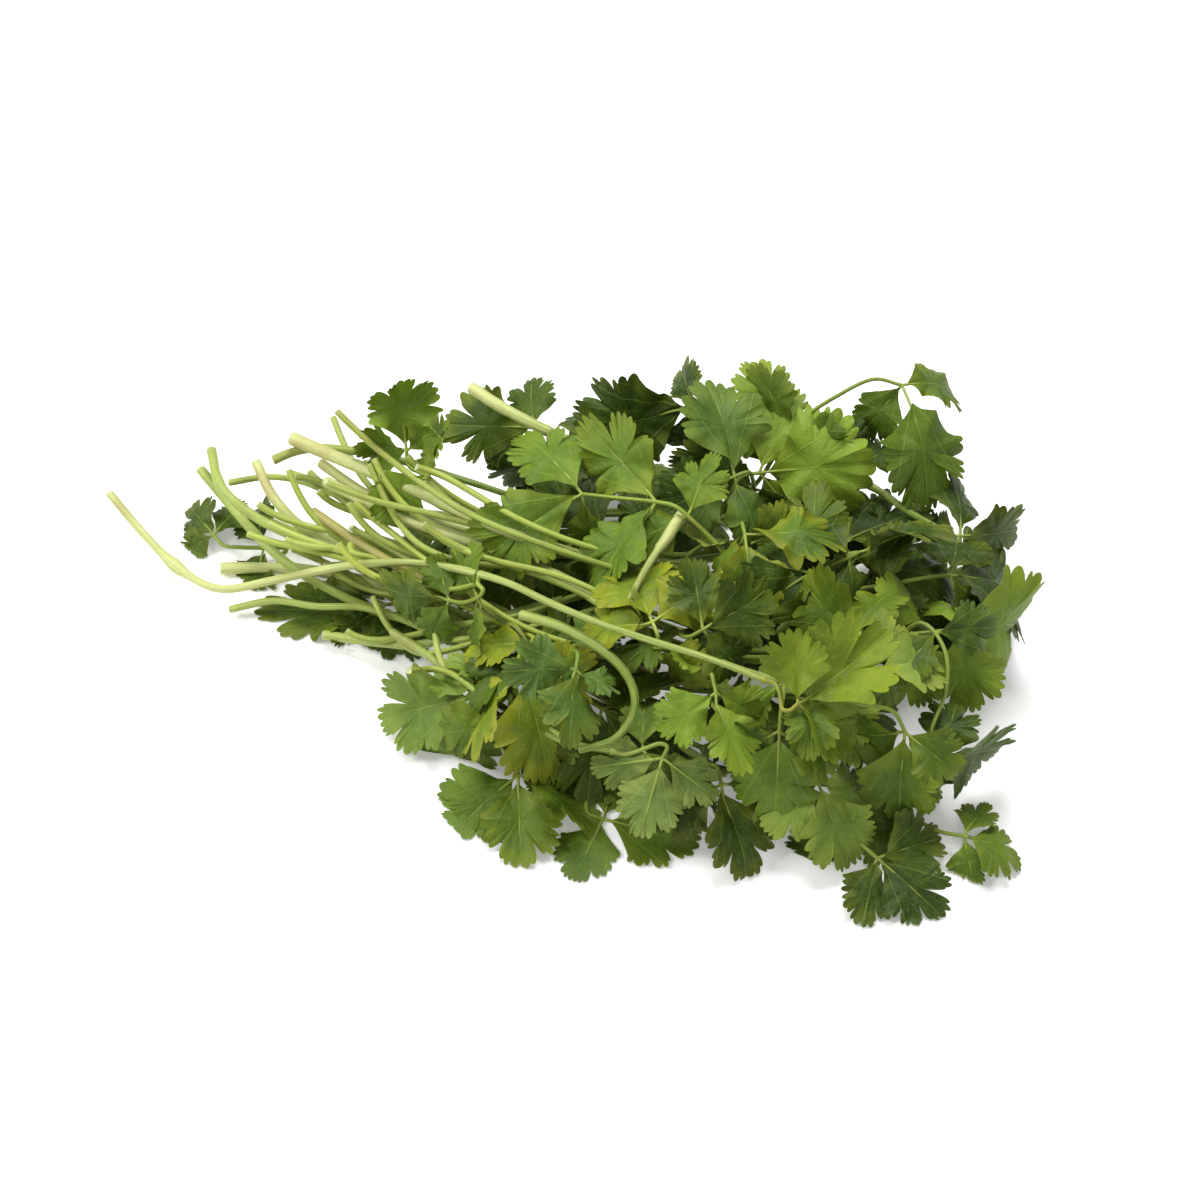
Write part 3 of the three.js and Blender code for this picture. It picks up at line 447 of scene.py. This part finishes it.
# What sets some leaves apart. These shape a blade, in blade lengths or radians: "fold" lifts
# both halves off the midrib, "cup" bends the margins up, "curl" the tip, "twist" turns the tip
# over, "pitch" tips the whole blade and "roll" turns it about its midrib, "ripple" waves the
# margin, "pucker" raises small hills and "quilt" the skin between veins. "lobes" is how deep
# the cuts go, "teeth" how many there are, and "growth" the size against the frame node's.
# "tone" is how light the blade is and "age" how yellow its margins are, both from 0 to 1.
HABITS = {
    "leaf_feathered": {"lobes": 0.6, "tone": 0.35, "ripple": 0.05, "cup": -0.3, "teeth": 21},
    "leaf_back_curl": {"curl": 0.9, "cup": 0.5, "lobes": 0.4, "tone": 0.6},
    "leaf_crown_folded": {"fold": 0.6, "tone": 0.7, "pitch": 0.2, "roll": 0.3},
    "leaf_crown_toothed": {"teeth": 21, "lobes": 0.25, "tone": 0.2, "cup": -0.25},
    "leaf_crown_blue": {"lobes": 0.4, "ripple": 0.05, "cup": -0.15},
    "leaf_crown_fan": {"lobes": 0.2, "tone": 0.8, "fold": 0.12, "roll": 0.0, "growth": 1.3},
    "leaf_tall_back": {"lobes": 0.35, "tone": 0.75, "growth": 1.3},
    "leaf_right_folded": {"fold": 0.35, "curl": -0.5, "tone": 0.4},
    "leaf_bright_curl": {"fold": 0.5, "cup": 0.1, "curl": 0.5, "ripple": 0.04, "roll": 0.3, "age": 0.0,
                         "tone": 0.3, "teeth": 13, "lobes": 0.35},
    "leaf_front_yellow": {"age": 0.16, "tone": 0.4, "curl": -0.3},
    "leaf_middle_yellow": {"age": 0.15, "tone": 0.4},
    "leaf_middle_hanging": {"age": 0.16, "tone": 0.5, "curl": -0.3},
    "leaf_front_bright": {"tone": 0.75, "cup": -0.2},
    "leaf_pale_green": {"tone": 0.7, "age": 0.12},
    "leaf_right_light": {"tone": 0.6, "lobes": 0.25, "growth": 1.35},
    "leaf_front_veined": {"lobes": 0.4, "cup": 0.2, "ripple": 0.05, "roll": 0.0, "growth": 0.95,
                          "tone": 0.3},
    "leaf_front_point": {"tone": 0.45, "lobes": 0.35, "cup": -0.2},
    "leaf_resting": {"fold": 0, "cup": 0, "curl": 0, "ripple": 0, "twist": 0, "roll": 0, "pitch": 0,
                     "pucker": 0.002},
}
# Leaves deep in the heap or under it, which fill it out and show only in part.
INNER_LEAVES = (
    "leaf_inner_right", "leaf_inner_middle", "leaf_inner_low", "leaf_core_front", "leaf_core_left",
    "leaf_low_right", "leaf_low_back", "leaf_left_low",
)


def usual_habit(chance, tone, growth):
    """A blade's habit before its leaf's own is laid over it: each value from its usual range."""
    return {
        "fold": chance.uniform(-0.1, 0.3),
        "cup": chance.uniform(-0.9, 0.25),
        "curl": chance.uniform(-0.8, 0.25),
        "twist": chance.uniform(-0.35, 0.35),
        "ripple": chance.uniform(0.035, 0.08),
        "roll": chance.uniform(-0.72, 0.72),
        "pitch": chance.uniform(-0.45, 0.25),
        "lobes": chance.uniform(0.32, 0.62),
        "teeth": int(chance.integers(15, 22)),
        "quilt": 0.002,
        "pucker": chance.uniform(0.006, 0.016),
        "tone": tone + chance.uniform(-0.18, 0.18),
        "age": chance.uniform(0.0, 0.08),
        "growth": growth,
    }


def leaf_plan(node):
    """Reads a leaf's frame node from its stalk's heel outwards. Gives the centres of its
    five-cornered stalk sections and, for each leaflet, the fork it grows from and its
    three-cornered blade sections."""
    places, triangles = welded(node)
    joined = neighbours(len(places), triangles)
    count = joined.sum(0)
    heel = next(i for i in range(len(places)) if count[i] == 5 and (count[joined[i]] == 5).all())
    level = hops(joined, np.arange(len(places)) == heel)
    stalk, leaflets = [], []
    for step in range(1, level.max() + 1):
        left = set(np.flatnonzero(level == step).tolist())
        while left:
            group = [left.pop()]
            for member in group:
                found = [other for other in np.flatnonzero(joined[member]).tolist() if other in left]
                left.difference_update(found)
                group.extend(found)
            if len(group) == 5:
                stalk.append(group)
                continue
            chain = next((c for c in leaflets if joined[np.ix_(c[-1], group)].any()), None)
            if chain is None:
                chain = [next(g for g in reversed(stalk) if joined[np.ix_(g, group)].any())]
                leaflets.append(chain)
            chain.append(group)
    centres = np.array([places[group].mean(0) for group in stalk])
    return centres, [(places[c[0]].mean(0), np.array([places[g] for g in c[2:]])) for c in leaflets]


def blade_lines(sections):
    """A blade's own axes from its sections: polynomials along it for its midrib, its right
    and its up direction, with its length and half width. The keel is the corner of a section
    that is nearest to the other two."""
    gaps = np.linalg.norm(sections[:, :, None] - sections[:, None], axis=3).sum(2)
    keel_at = gaps.argmin(1)
    rows = np.arange(len(sections))
    keel = sections[rows, keel_at]
    one, other = sections[rows, (keel_at + 1) % 3], sections[rows, (keel_at + 2) % 3]
    along = unit(np.gradient(keel, BLADE_STATIONS, axis=0))
    across = other - one
    across = unit(across - along * (across * along).sum(1, keepdims=True))
    raised = (one + other) / 2 - keel
    up = np.cross(across, along)
    up = up * np.sign((up * raised).sum(1, keepdims=True))
    midrib = keel + up * (raised * up).sum(1, keepdims=True)
    size = np.linalg.norm(np.diff(midrib, axis=0), axis=1).sum() / (BLADE_STATIONS[-1] - BLADE_STATIONS[0])
    fitted = {
        key: np.polyfit(BLADE_STATIONS, values, degree)
        for key, values, degree in (("midrib", midrib, 2), ("right", np.cross(along, up), 1), ("up", up, 1))
    }
    return fitted, size, np.linalg.norm(other - one, axis=1).max() / 2


def on_blade(lines, size, x, y, height):
    """The place of flat point (x, y) at a height above it, in blade lengths:
    midrib(x) + size * (y * right(x) + height * up(x))."""
    midrib, right, up = (
        (x[:, None, None] ** np.arange(len(fit))[::-1][None, :, None] * fit[None]).sum(1)
        for fit in (lines["midrib"], lines["right"], lines["up"])
    )
    return midrib + size * (unit(right) * y[:, None] + unit(up) * height[:, None])


def lower_leaflet(fork, along, up, size):
    """The axes of a small leaflet that leaves a stalk at a fork, with a midrib that droops:
    midrib(x) = fork + size * (along * (LOWER_STALK + x) - up * 0.15 * x * x)."""
    right = np.cross(along, up)
    return {
        "midrib": np.array([-0.15 * size * up, size * along, fork + LOWER_STALK * size * along]),
        "right": np.array([np.zeros(3), right]),
        "up": np.array([0.3 * along, up]),
    }


def rolled(lines, angle):
    """A leaflet's axes turned about its midrib by an angle."""
    keep, give = math.cos(angle), math.sin(angle)
    right = keep * lines["right"] + give * lines["up"]
    up = keep * lines["up"] - give * lines["right"]
    return {"midrib": lines["midrib"], "right": right, "up": up}


def running_stalk(chance, arching, root):
    """A long thin stalk from beside a stem's cut end to a leaf's root: the stem's own line,
    moved sideways by a slow sway that closes on the root at its end. Its first stretch arches
    away by a bow that grows with the square of the distance back to the cut."""
    near = {}
    for name, line in stem_courses.items():
        if name not in LONE_STEMS:
            near[name] = np.linalg.norm(line - root, axis=1)
    name = min(near, key=lambda key: near[key].min())
    line, end = stem_courses[name], int(near[name].argmin())
    start = int(len(line) * chance.uniform(*RUNNING_START))
    if end - start < RUNNING_SHORTEST * len(line) or near[name].min() > RUNNING_REACH:
        return None
    course = even_curve(line[start:end + 1:6], RUNNING_RINGS)
    run = np.linspace(0, 1, RUNNING_RINGS)[:, None]
    beside = chance.uniform(*RUNNING_ASIDE)
    aside = beside * np.array([[chance.uniform(-0.6, 0.6), chance.choice([-1.0, 1.0]), 0]])
    sway = chance.uniform(*RUNNING_SWAY) * np.sin(run * chance.uniform(4, 9) + chance.uniform(0, 6))
    lift = chance.choice(RUNNING_LIFTS) * np.sin(np.pi * run) ** 2 + 0.001
    course = course + aside * (1 - run**3) + sway * np.array([[0.2, 1.0, 0.0]]) * (1 - run**2)
    course = course + lift * np.array([[0, 0, 1.0]])
    course = course + (root - course[-1]) * run**4
    bow = np.array([[arching.uniform(*reach) for reach in RUNNING_BOW]])
    course = course + bow * np.clip(1 - run / arching.uniform(0.2, 0.45), 0, None) ** 2
    return above_table(course, RUNNING_CLEARANCE)


def toothed_edge(chance, teeth, lobes):
    """A blade's outline about BLADE_CENTRE, from its right shoulder over the tip to the left
    one and back down the wedge to the stalk. In polar form the radius is an even envelope,
    less rounded teeth (1 - sin) between sharp notches, less the cuts that part the lobes."""
    wedge = math.radians(chance.uniform(98, 110))
    bounds = np.concatenate([[0], np.cumsum(chance.uniform(0.65, 1.35, teeth))])
    bounds = (bounds / bounds[-1] * 2 - 1) * wedge
    angle = (bounds[:-1, None] + np.diff(bounds)[:, None] * TOOTH_PLACES).ravel()
    bite = np.repeat(chance.uniform(0.09, 0.17, teeth), len(TOOTH_PLACES))
    bite = bite * np.tile(1 - np.sin(np.pi * TOOTH_PLACES) ** 0.75, teeth)
    lean = chance.uniform(-0.05, 0.05)
    envelope = OUTLINE_RADIUS * (1 + 0.07 * np.cos(angle) + lean * np.sin(angle) - 0.02 * np.cos(2 * angle))
    radius = envelope * (1 - bite)
    for centre, share, narrow in LOBE_CUTS:
        wanted = math.radians(centre + chance.uniform(-8, 8))
        notch = bounds[np.abs(bounds - wanted).argmin()]
        apart = np.abs((angle - notch) / math.radians(narrow))
        radius = radius * (1 - lobes * share * chance.uniform(0.7, 1.2) * np.exp(-(apart**1.25)))
    edge = radius[:, None] * np.stack([np.cos(angle), np.sin(angle)], 1)
    base = np.array([-BLADE_CENTRE - WEDGE_LENGTH, 0.0])
    share = np.linspace(0, 1, 9)[1:-1, None]
    left = base + (edge[-1] - base) * np.hstack([1 - share, (1 - share) ** 1.3])
    right = base + (edge[0] - base) * np.hstack([share, share**1.3])
    return np.vstack([edge, left, base, right])


def above_table(points, clearance):
    """Eases points that would sink into the table to just above it: z becomes the smooth
    maximum of z and the clearance."""
    low = points[:, 2] - clearance
    points[:, 2] = clearance + 0.5 * (low + np.sqrt(low**2 + 4e-8))
    return points


def blade_heights(x, y, rim, turn, phase, habit):
    """How high each flat point of a blade is raised, in blade lengths. The fold is |y| with a
    rounded bottom, the cup y squared, the curl the square of the way past CURL_START, the
    twist x times y, the pitch x, the midrib's groove a narrow bell across it, the ripple
    sines round the rim, the quilt a cosine across the fan of veins, the pucker sines of x
    and y."""
    height = habit["fold"] * (np.sqrt(y**2 + 0.0006) - 0.0245) + habit["cup"] * y**2
    height += habit["curl"] * np.clip(x - CURL_START, 0, None) ** 2 + habit["twist"] * x * y
    height += habit["pitch"] * x
    height -= MIDRIB_GROOVE * np.exp(-((y / 0.03) ** 2)) * (1.1 - x)
    waves = habit["ripple"] * rim**2.2
    height += waves * np.sin(3 * turn + phase) + 0.5 * waves * np.sin(7 * turn + 2 * phase)
    height += 0.25 * waves * np.sin(13 * turn + 3 * phase)
    fan = np.arctan2(y, x + 0.08)
    height += habit["quilt"] * np.cos(fan * 15) * np.clip(x * 2, 0, 1) * (1 - 0.5 * rim**3)
    height += habit["pucker"] * np.sin(11 * x + phase) * np.sin(13 * y + 2 * phase)
    height += 0.5 * habit["pucker"] * np.sin(23 * x - 9 * y + phase) * np.sin(17 * y + 7 * x)
    return height


def blade(lines, size, half_width, habit, chance, rings):
    """A leaflet's blade: rings of its outline drawn in towards BLADE_CENTRE, each the outline
    times (ring / rings) ** 0.8, raised to their heights on the bent midrib. A second skin
    under it, joined round the rim, gives it its thickness."""
    edge = toothed_edge(chance, habit["teeth"], habit["lobes"])
    edge[:, 1] *= half_width / size / OUTLINE_RADIUS * chance.uniform(0.82, 1.0)
    share = (np.arange(1, rings + 1) / rings) ** 0.8
    flat = np.vstack([[[0, 0]], (share[:, None, None] * edge).reshape(-1, 2)])
    rim = np.concatenate([[0], np.repeat(share, len(edge))])
    x, y = flat[:, 0] + BLADE_CENTRE, flat[:, 1]
    height = blade_heights(x, y, rim, np.arctan2(y, flat[:, 0]), chance.uniform(0, 6.3), habit)
    grown = habit["growth"]
    thin = BLADE_THICKNESS * (1 - RIM_THINNING * rim**8) / size
    top = on_blade(lines, size, x * grown, y * grown, height * grown)
    top = above_table(top, TABLE_CLEARANCE * 1.6)
    under = on_blade(lines, size, x * grown, y * grown, height * grown - thin)
    under = above_table(under, TABLE_CLEARANCE)
    around, count = len(edge), len(x)
    hub = np.arange(around)
    onward = (hub + 1) % around
    ring, place = (g.ravel() for g in np.meshgrid(np.arange(rings - 1), hub, indexing="ij"))
    a, b = 1 + ring * around + place, 1 + ring * around + (place + 1) % around
    skin = np.vstack([
        np.stack([np.zeros(around, int), 1 + hub, 1 + onward], 1),
        np.stack([a, a + around, b + around], 1),
        np.stack([a, b + around, b], 1),
    ])
    out, out_next = count - around + hub, count - around + onward
    below = np.vstack([
        skin[:, ::-1] + count,
        np.stack([out, out + count, out_next + count], 1),
        np.stack([out, out_next + count, out_next], 1),
    ])
    triangles = np.vstack([skin, below])
    flat_map = np.tile(np.stack([x, y + 0.5], 1), (2, 1))
    look = np.stack([np.full(count, habit["tone"]), np.full(count, habit["age"]), rim], 1)
    return {
        "points": np.vstack([top, under]),
        "triangles": triangles,
        "map": flat_map[triangles],
        "look": np.tile(look, (2, 1)),
        "wears": np.concatenate([np.zeros(len(skin), np.int32), np.ones(len(below), np.int32)]),
    }


def tube(points, count, start, end, flare=0.0):
    """A stalk: a rod through the points whose radius goes evenly from start to end, and
    swells at its root by flare times a bell, exp(-(run / 0.06) ** 2)."""
    path = even_curve(points, count)
    run = np.linspace(0, 1, count)
    radius = start + (end - start) * run
    radius = radius * (1 + flare * np.exp(-((run / 0.06) ** 2)))
    at = np.concatenate([[0], np.arange(count), [count - 1]])
    size = np.concatenate([[0], radius, [0]])
    push = np.zeros(count + 2)
    push[0], push[-1] = -0.3 * radius[0], 0.3 * radius[-1]
    look = np.stack([0.35 + 0.5 * at / count, np.zeros(count + 2), np.full(count + 2, 0.35)], 1)
    made = rod(path, at, size, push, STALK_SIDES, look, STALK_RIBS, STALK_RIB_HEIGHT)
    made["wears"] += STALK_MATERIAL
    return made


def midrib_rod(lines, size, habit, fork):
    """A blade's midrib, from its fork along the bottom of the groove: its height is the
    blade's own curl, pitch and groove at y = 0, less a share of the rib's radius, so that
    more of it stands proud below the blade than above."""
    x = MIDRIB_PLACES
    depth = habit["curl"] * np.clip(x - CURL_START, 0, None) ** 2 + habit["pitch"] * x
    depth = depth - MIDRIB_GROOVE * (1.1 - x) - 0.6 * MIDRIB_RADIUS / size * (1.25 - x)
    grown = habit["growth"]
    rib = above_table(on_blade(lines, size, x * grown, np.zeros(len(x)), depth * grown), TABLE_CLEARANCE)
    return tube(np.vstack([fork, rib]), MIDRIB_RINGS, MIDRIB_RADIUS * 1.15, MIDRIB_RADIUS * 0.25)


def cut_stalk(path):
    """A long stalk with a flat cut face at its start, whose radius thins evenly to its leaf."""
    count = len(path)
    middle = np.arange(1, count)
    radius = RUNNING_RADIUS * (1 - RUNNING_TAPER * middle / count)
    at = np.concatenate([np.zeros(len(RUNNING_CUT), int), middle, [count - 1]])
    size = np.concatenate([RUNNING_CUT[:, 0] * RUNNING_RADIUS, radius, [0]])
    push = np.concatenate([RUNNING_CUT[:, 1], np.zeros(count)])
    cut = np.concatenate([RUNNING_CUT[:, 2], np.zeros(count)])
    look = np.stack([0.75 * at / count, cut, np.full(len(at), 0.3)], 1)
    made = rod(path, at, size, push, STALK_SIDES, look, STALK_RIBS, STALK_RIB_HEIGHT)
    made["wears"] += STALK_MATERIAL
    return made


LEAF_GLOW = 0.14         # share of the light that comes through a blade
VEIN_SPACING = math.radians(27)


def veins(tree, x, y, spacing, offset, start, width):
    """One set of veins that fan out from the blade's base: the distance to the nearest ray,
    distance from the base times the angle past it, made a line that thins with distance."""
    forward = maths(tree, "ADD", x, WEDGE_LENGTH)
    angle = maths(tree, "ARCTAN2", y, forward)
    squares = maths(tree, "MULTIPLY_ADD", y, y, maths(tree, "MULTIPLY", forward, forward))
    reach = maths(tree, "SQRT", squares)
    off = maths(tree, "PINGPONG", maths(tree, "ADD", angle, offset), spacing / 2)
    gap = maths(tree, "MULTIPLY", off, reach)
    line = between(tree, gap, width, 0.0)
    return maths(tree, "MULTIPLY", line, between(tree, reach, start, start + 0.12))


def leaf_material(name, deep, bright, vein, aged, roughness, raised):
    """Leaf skin: mottled green, lighter towards the margin, with a fan of veins and a fine net
    between them, and yellow along the margins of an ageing leaf. The veins are sunk where
    "raised" is under a half and stand proud above it."""
    material = bpy.data.materials.new(name)
    material.use_nodes = True
    tree = material.node_tree
    tree.nodes.clear()
    look = add_node(tree, "ShaderNodeAttribute", attribute_name="look").outputs["Vector"]
    tone, age, rim = add_node(tree, "ShaderNodeSeparateXYZ", {0: look}).outputs
    place = add_node(tree, "ShaderNodeTexCoord").outputs["Object"]
    flat = add_node(tree, "ShaderNodeUVMap", uv_map="flat").outputs[0]
    x, shifted, _ = add_node(tree, "ShaderNodeSeparateXYZ", {0: flat}).outputs
    y = maths(tree, "SUBTRACT", shifted, 0.5)
    broad = noise(tree, place, 75, 3.0)
    fine = noise(tree, place, 420, 4.0, 0.6)
    speck = noise(tree, place, 2600, 2.0, 0.6)
    mesh_inputs = {"Vector": flat, "Scale": 17.0}
    cells = add_node(tree, "ShaderNodeTexVoronoi", mesh_inputs, feature="DISTANCE_TO_EDGE")
    net = between(tree, cells.outputs["Distance"], 0.07, 0.0)
    main = veins(tree, x, y, VEIN_SPACING, 0.0, 0.0, 0.011)
    minor = veins(tree, x, y, VEIN_SPACING, VEIN_SPACING / 2, 0.35, 0.007)
    small = veins(tree, x, y, VEIN_SPACING / 2, VEIN_SPACING / 4, 0.6, 0.006)
    line = maths(tree, "MAXIMUM", main, maths(tree, "MULTIPLY", maths(tree, "MAXIMUM", minor, small), 0.65))
    paleness = maths(tree, "ADD", tone, maths(tree, "MULTIPLY_ADD", broad, 1.1, -0.55))
    paleness = maths(tree, "MULTIPLY_ADD", rim, 0.12, paleness)
    shade = blend(tree, between(tree, paleness, 0.0, 1.0), deep, bright)
    shade = blend(tree, between(tree, fine, 0.45, 0.75, 0.0, 0.35), shade, bright)
    shade = blend(tree, between(tree, fine, 0.45, 0.25, 0.0, 0.3), shade, deep)
    ageing = maths(tree, "MULTIPLY", age, between(tree, maths(tree, "ADD", rim, broad), 0.95, 1.45))
    shade = blend(tree, maths(tree, "MINIMUM", maths(tree, "MULTIPLY", ageing, 1.8), 1.0), shade, aged)
    shade = blend(tree, maths(tree, "MULTIPLY", line, raised), shade, vein)
    shade = blend(tree, maths(tree, "MULTIPLY", net, 0.22 * raised + 0.06), shade, vein)
    mesh_height = maths(tree, "MULTIPLY", net, 1.6 * raised - 0.8)
    height = maths(tree, "MULTIPLY_ADD", line, 3.4 * raised - 1.75, mesh_height)
    grain = maths(tree, "MULTIPLY_ADD", fine, 0.7, maths(tree, "MULTIPLY", speck, 0.25))
    height = maths(tree, "ADD", height, grain)
    sheen = between(tree, speck, 0.25, 0.75, roughness, roughness + 0.14)
    plant_surface(tree, shade, height, sheen, LEAF_GLOW, 0.6, 0.28)
    return material


# Each kind of leaf's darkest and lightest green, and its usual tone between them.
LEAF_TONES = {
    "leaf_dark": ((46, 68, 12), (88, 114, 24), 0.3),
    "leaf_mid": ((60, 86, 15), (110, 138, 32), 0.42),
    "leaf_blue": ((60, 88, 28), (98, 128, 48), 0.45),
    "leaf_light": ((76, 104, 20), (126, 154, 42), 0.6),
    "leaf_yellow": ((84, 110, 18), (150, 166, 40), 0.6),
    "leaf_pale": ((82, 110, 30), (136, 162, 64), 0.55),
}
VEIN = (138, 162, 62)
AGED = (182, 168, 36)
UNDER_VEIN = (168, 186, 112)
UNDER_AGED = (188, 176, 70)
STALK_BLUSH = (150, 116, 66)


def tinted(base, share, added):
    """A share of one display colour with another added to it, as a shader takes it."""
    return colour(*(share * b + a for b, a in zip(base, added)))


def leaf_looks(slot, deep, bright):
    """A leaf's three materials: its upper skin, its paler and duller underside, its stalk."""
    upper = leaf_material(slot, colour(*deep), colour(*bright), colour(*VEIN), colour(*AGED), 0.42, 0.42)
    under_deep, under_bright = tinted(deep, 0.7, (34, 38, 24)), tinted(bright, 0.7, (46, 50, 34))
    under_colours = (under_deep, under_bright, colour(*UNDER_VEIN), colour(*UNDER_AGED))
    under = leaf_material(slot + "_under", *under_colours, 0.58, 0.7)
    stalk_colours = (tinted(bright, 0.35, (132, 138, 70)), tinted(bright, 0.4, (76, 90, 26)))
    stalk = stem_material(slot + "_stalk", *stalk_colours, colour(*STALK_BLUSH))
    return upper, under, stalk


LEAF_LOOKS = {slot: leaf_looks(slot, deep, bright) for slot, (deep, bright, _) in LEAF_TONES.items()}

stem_courses = {name: even_curve(centres, 200) for name, (centres, _) in stem_lines.items()}
stem_paths = np.vstack(list(stem_courses.values()))
leaf_nodes = sorted(name for name in frame["nodes"] if name.startswith("leaf_"))

for order, name in enumerate(leaf_nodes):
    chance = np.random.default_rng(500 + order)
    slot = slot_of[name]
    stalk, sections_of = leaf_plan(name)
    nearest = stem_paths[np.linalg.norm(stem_paths - stalk[0], axis=1).argmin()]
    line = np.vstack([nearest, stalk])
    parts = [tube(line, STALK_RINGS, STALK_RADIUS * STALK_FIT, STALK_TOP_RADIUS * STALK_FIT, STALK_FLARE)]
    running = running_stalk(chance, np.random.default_rng(900 + order), stalk[0])
    if running is not None:
        parts.append(cut_stalk(running))
    leaflets = [(fork, *blade_lines(sections), BLADE_RINGS) for fork, sections in sections_of]
    inner = name in INNER_LEAVES
    path = even_curve(line, STALK_RINGS)
    long_enough = np.linalg.norm(np.diff(path, axis=0), axis=1).sum() > PAIRED_STALK
    for where, size, lean in INNER_PAIRS if inner else OUTER_PAIRS if long_enough else ():
        here = int(where * STALK_RINGS)
        onward = unit(path[here + 1] - path[here])
        lift = unit(np.array([chance.uniform(-0.4, 0.4), -0.5, 1.0]))
        lift = unit(lift - onward * (lift @ onward))
        across = np.cross(onward, lift)
        for side in (-1, 1):
            along = unit(math.cos(lean) * side * across + math.sin(lean) * onward)
            axes = lower_leaflet(path[here], along, lift, size)
            leaflets.append((path[here], axes, size, LOWER_WIDTH * size, LOWER_BLADE_RINGS))
    growth = INNER_GROWTH if inner else GROWTH
    for fork, lines, size, half_width, rings in leaflets:
        habit = usual_habit(chance, LEAF_TONES[slot][2], growth) | HABITS.get(name, {})
        lines = rolled(lines, habit["roll"])
        parts.append(blade(lines, size, half_width, habit, chance, rings))
        parts.append(midrib_rod(lines, size, habit, fork))
    leaf = make_piece("skin_" + name, parts, LEAF_LOOKS[slot])
    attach(leaf, "root")
    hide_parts(name)

# ---------------------------------------------------------------------------
# The table the bunch lies on, a plain pale sheet, and the soft light of a studio: one
# broad lamp above and behind, one from the left and a weak one from the front.
# ---------------------------------------------------------------------------

TABLE_REACH = 6.0
TABLE_DROP = 0.0001      # below the lowest point of the bunch
# Each lamp's place, width and power.
LAMPS = {
    "lamp_top": ((0.1, 0.45, 1.1), 0.7, 13.0),
    "lamp_left": ((-0.9, 0.0, 0.8), 0.5, 8.0),
    "lamp_front": ((0.3, -1.0, 0.8), 0.9, 2.0),
}
LAMP_TARGET = np.array([0, 0, 0.03])

sheet = bpy.data.meshes.new("table")
corners = [(TABLE_REACH * x, TABLE_REACH * y, 0) for x, y in ((-1, -1), (1, -1), (1, 1), (-1, 1))]
sheet.from_pydata(corners, [], [(0, 1, 2, 3)])
table = bpy.data.objects.new("table", sheet)
table.location.z = cad_low[2] - TABLE_DROP
bpy.context.collection.objects.link(table)
paper = bpy.data.materials.new("paper")
paper.use_nodes = True
paper_tree = paper.node_tree
paper_place = add_node(paper_tree, "ShaderNodeTexCoord").outputs["Object"]
paper_grain = noise(paper_tree, paper_place, 40, 4.0)
paper_shade = blend(paper_tree, paper_grain, (0.93, 0.93, 0.92, 1), (0.97, 0.97, 0.96, 1))
paper_skin = paper_tree.nodes["Principled BSDF"]
paper_tree.links.new(paper_shade, paper_skin.inputs["Base Color"])
paper_skin.inputs["Roughness"].default_value = 0.9
paper_skin.inputs["Emission Color"].default_value = (1, 1, 1, 1)
paper_skin.inputs["Emission Strength"].default_value = 0.2
sheet.materials.append(paper)

world = bpy.data.worlds.new("studio")
world.use_nodes = True
world.node_tree.nodes["Background"].inputs["Color"].default_value = (1, 1, 1, 1)
world.node_tree.nodes["Background"].inputs["Strength"].default_value = 0.35
bpy.context.scene.world = world
bpy.context.scene.view_settings.view_transform = "Standard"

for name, (place, size, power) in LAMPS.items():
    lamp = bpy.data.lights.new(name, "AREA")
    lamp.shape = "DISK"
    lamp.size = size
    lamp.energy = power
    holder = bpy.data.objects.new(name, lamp)
    holder.location = place
    toward = LAMP_TARGET - np.array(place)
    tilt = math.atan2(toward[2], math.hypot(toward[0], toward[1]))
    heading = math.atan2(toward[1], toward[0])
    holder.rotation_euler = (math.pi / 2 + tilt, 0, heading - math.pi / 2)
    bpy.context.collection.objects.link(holder)
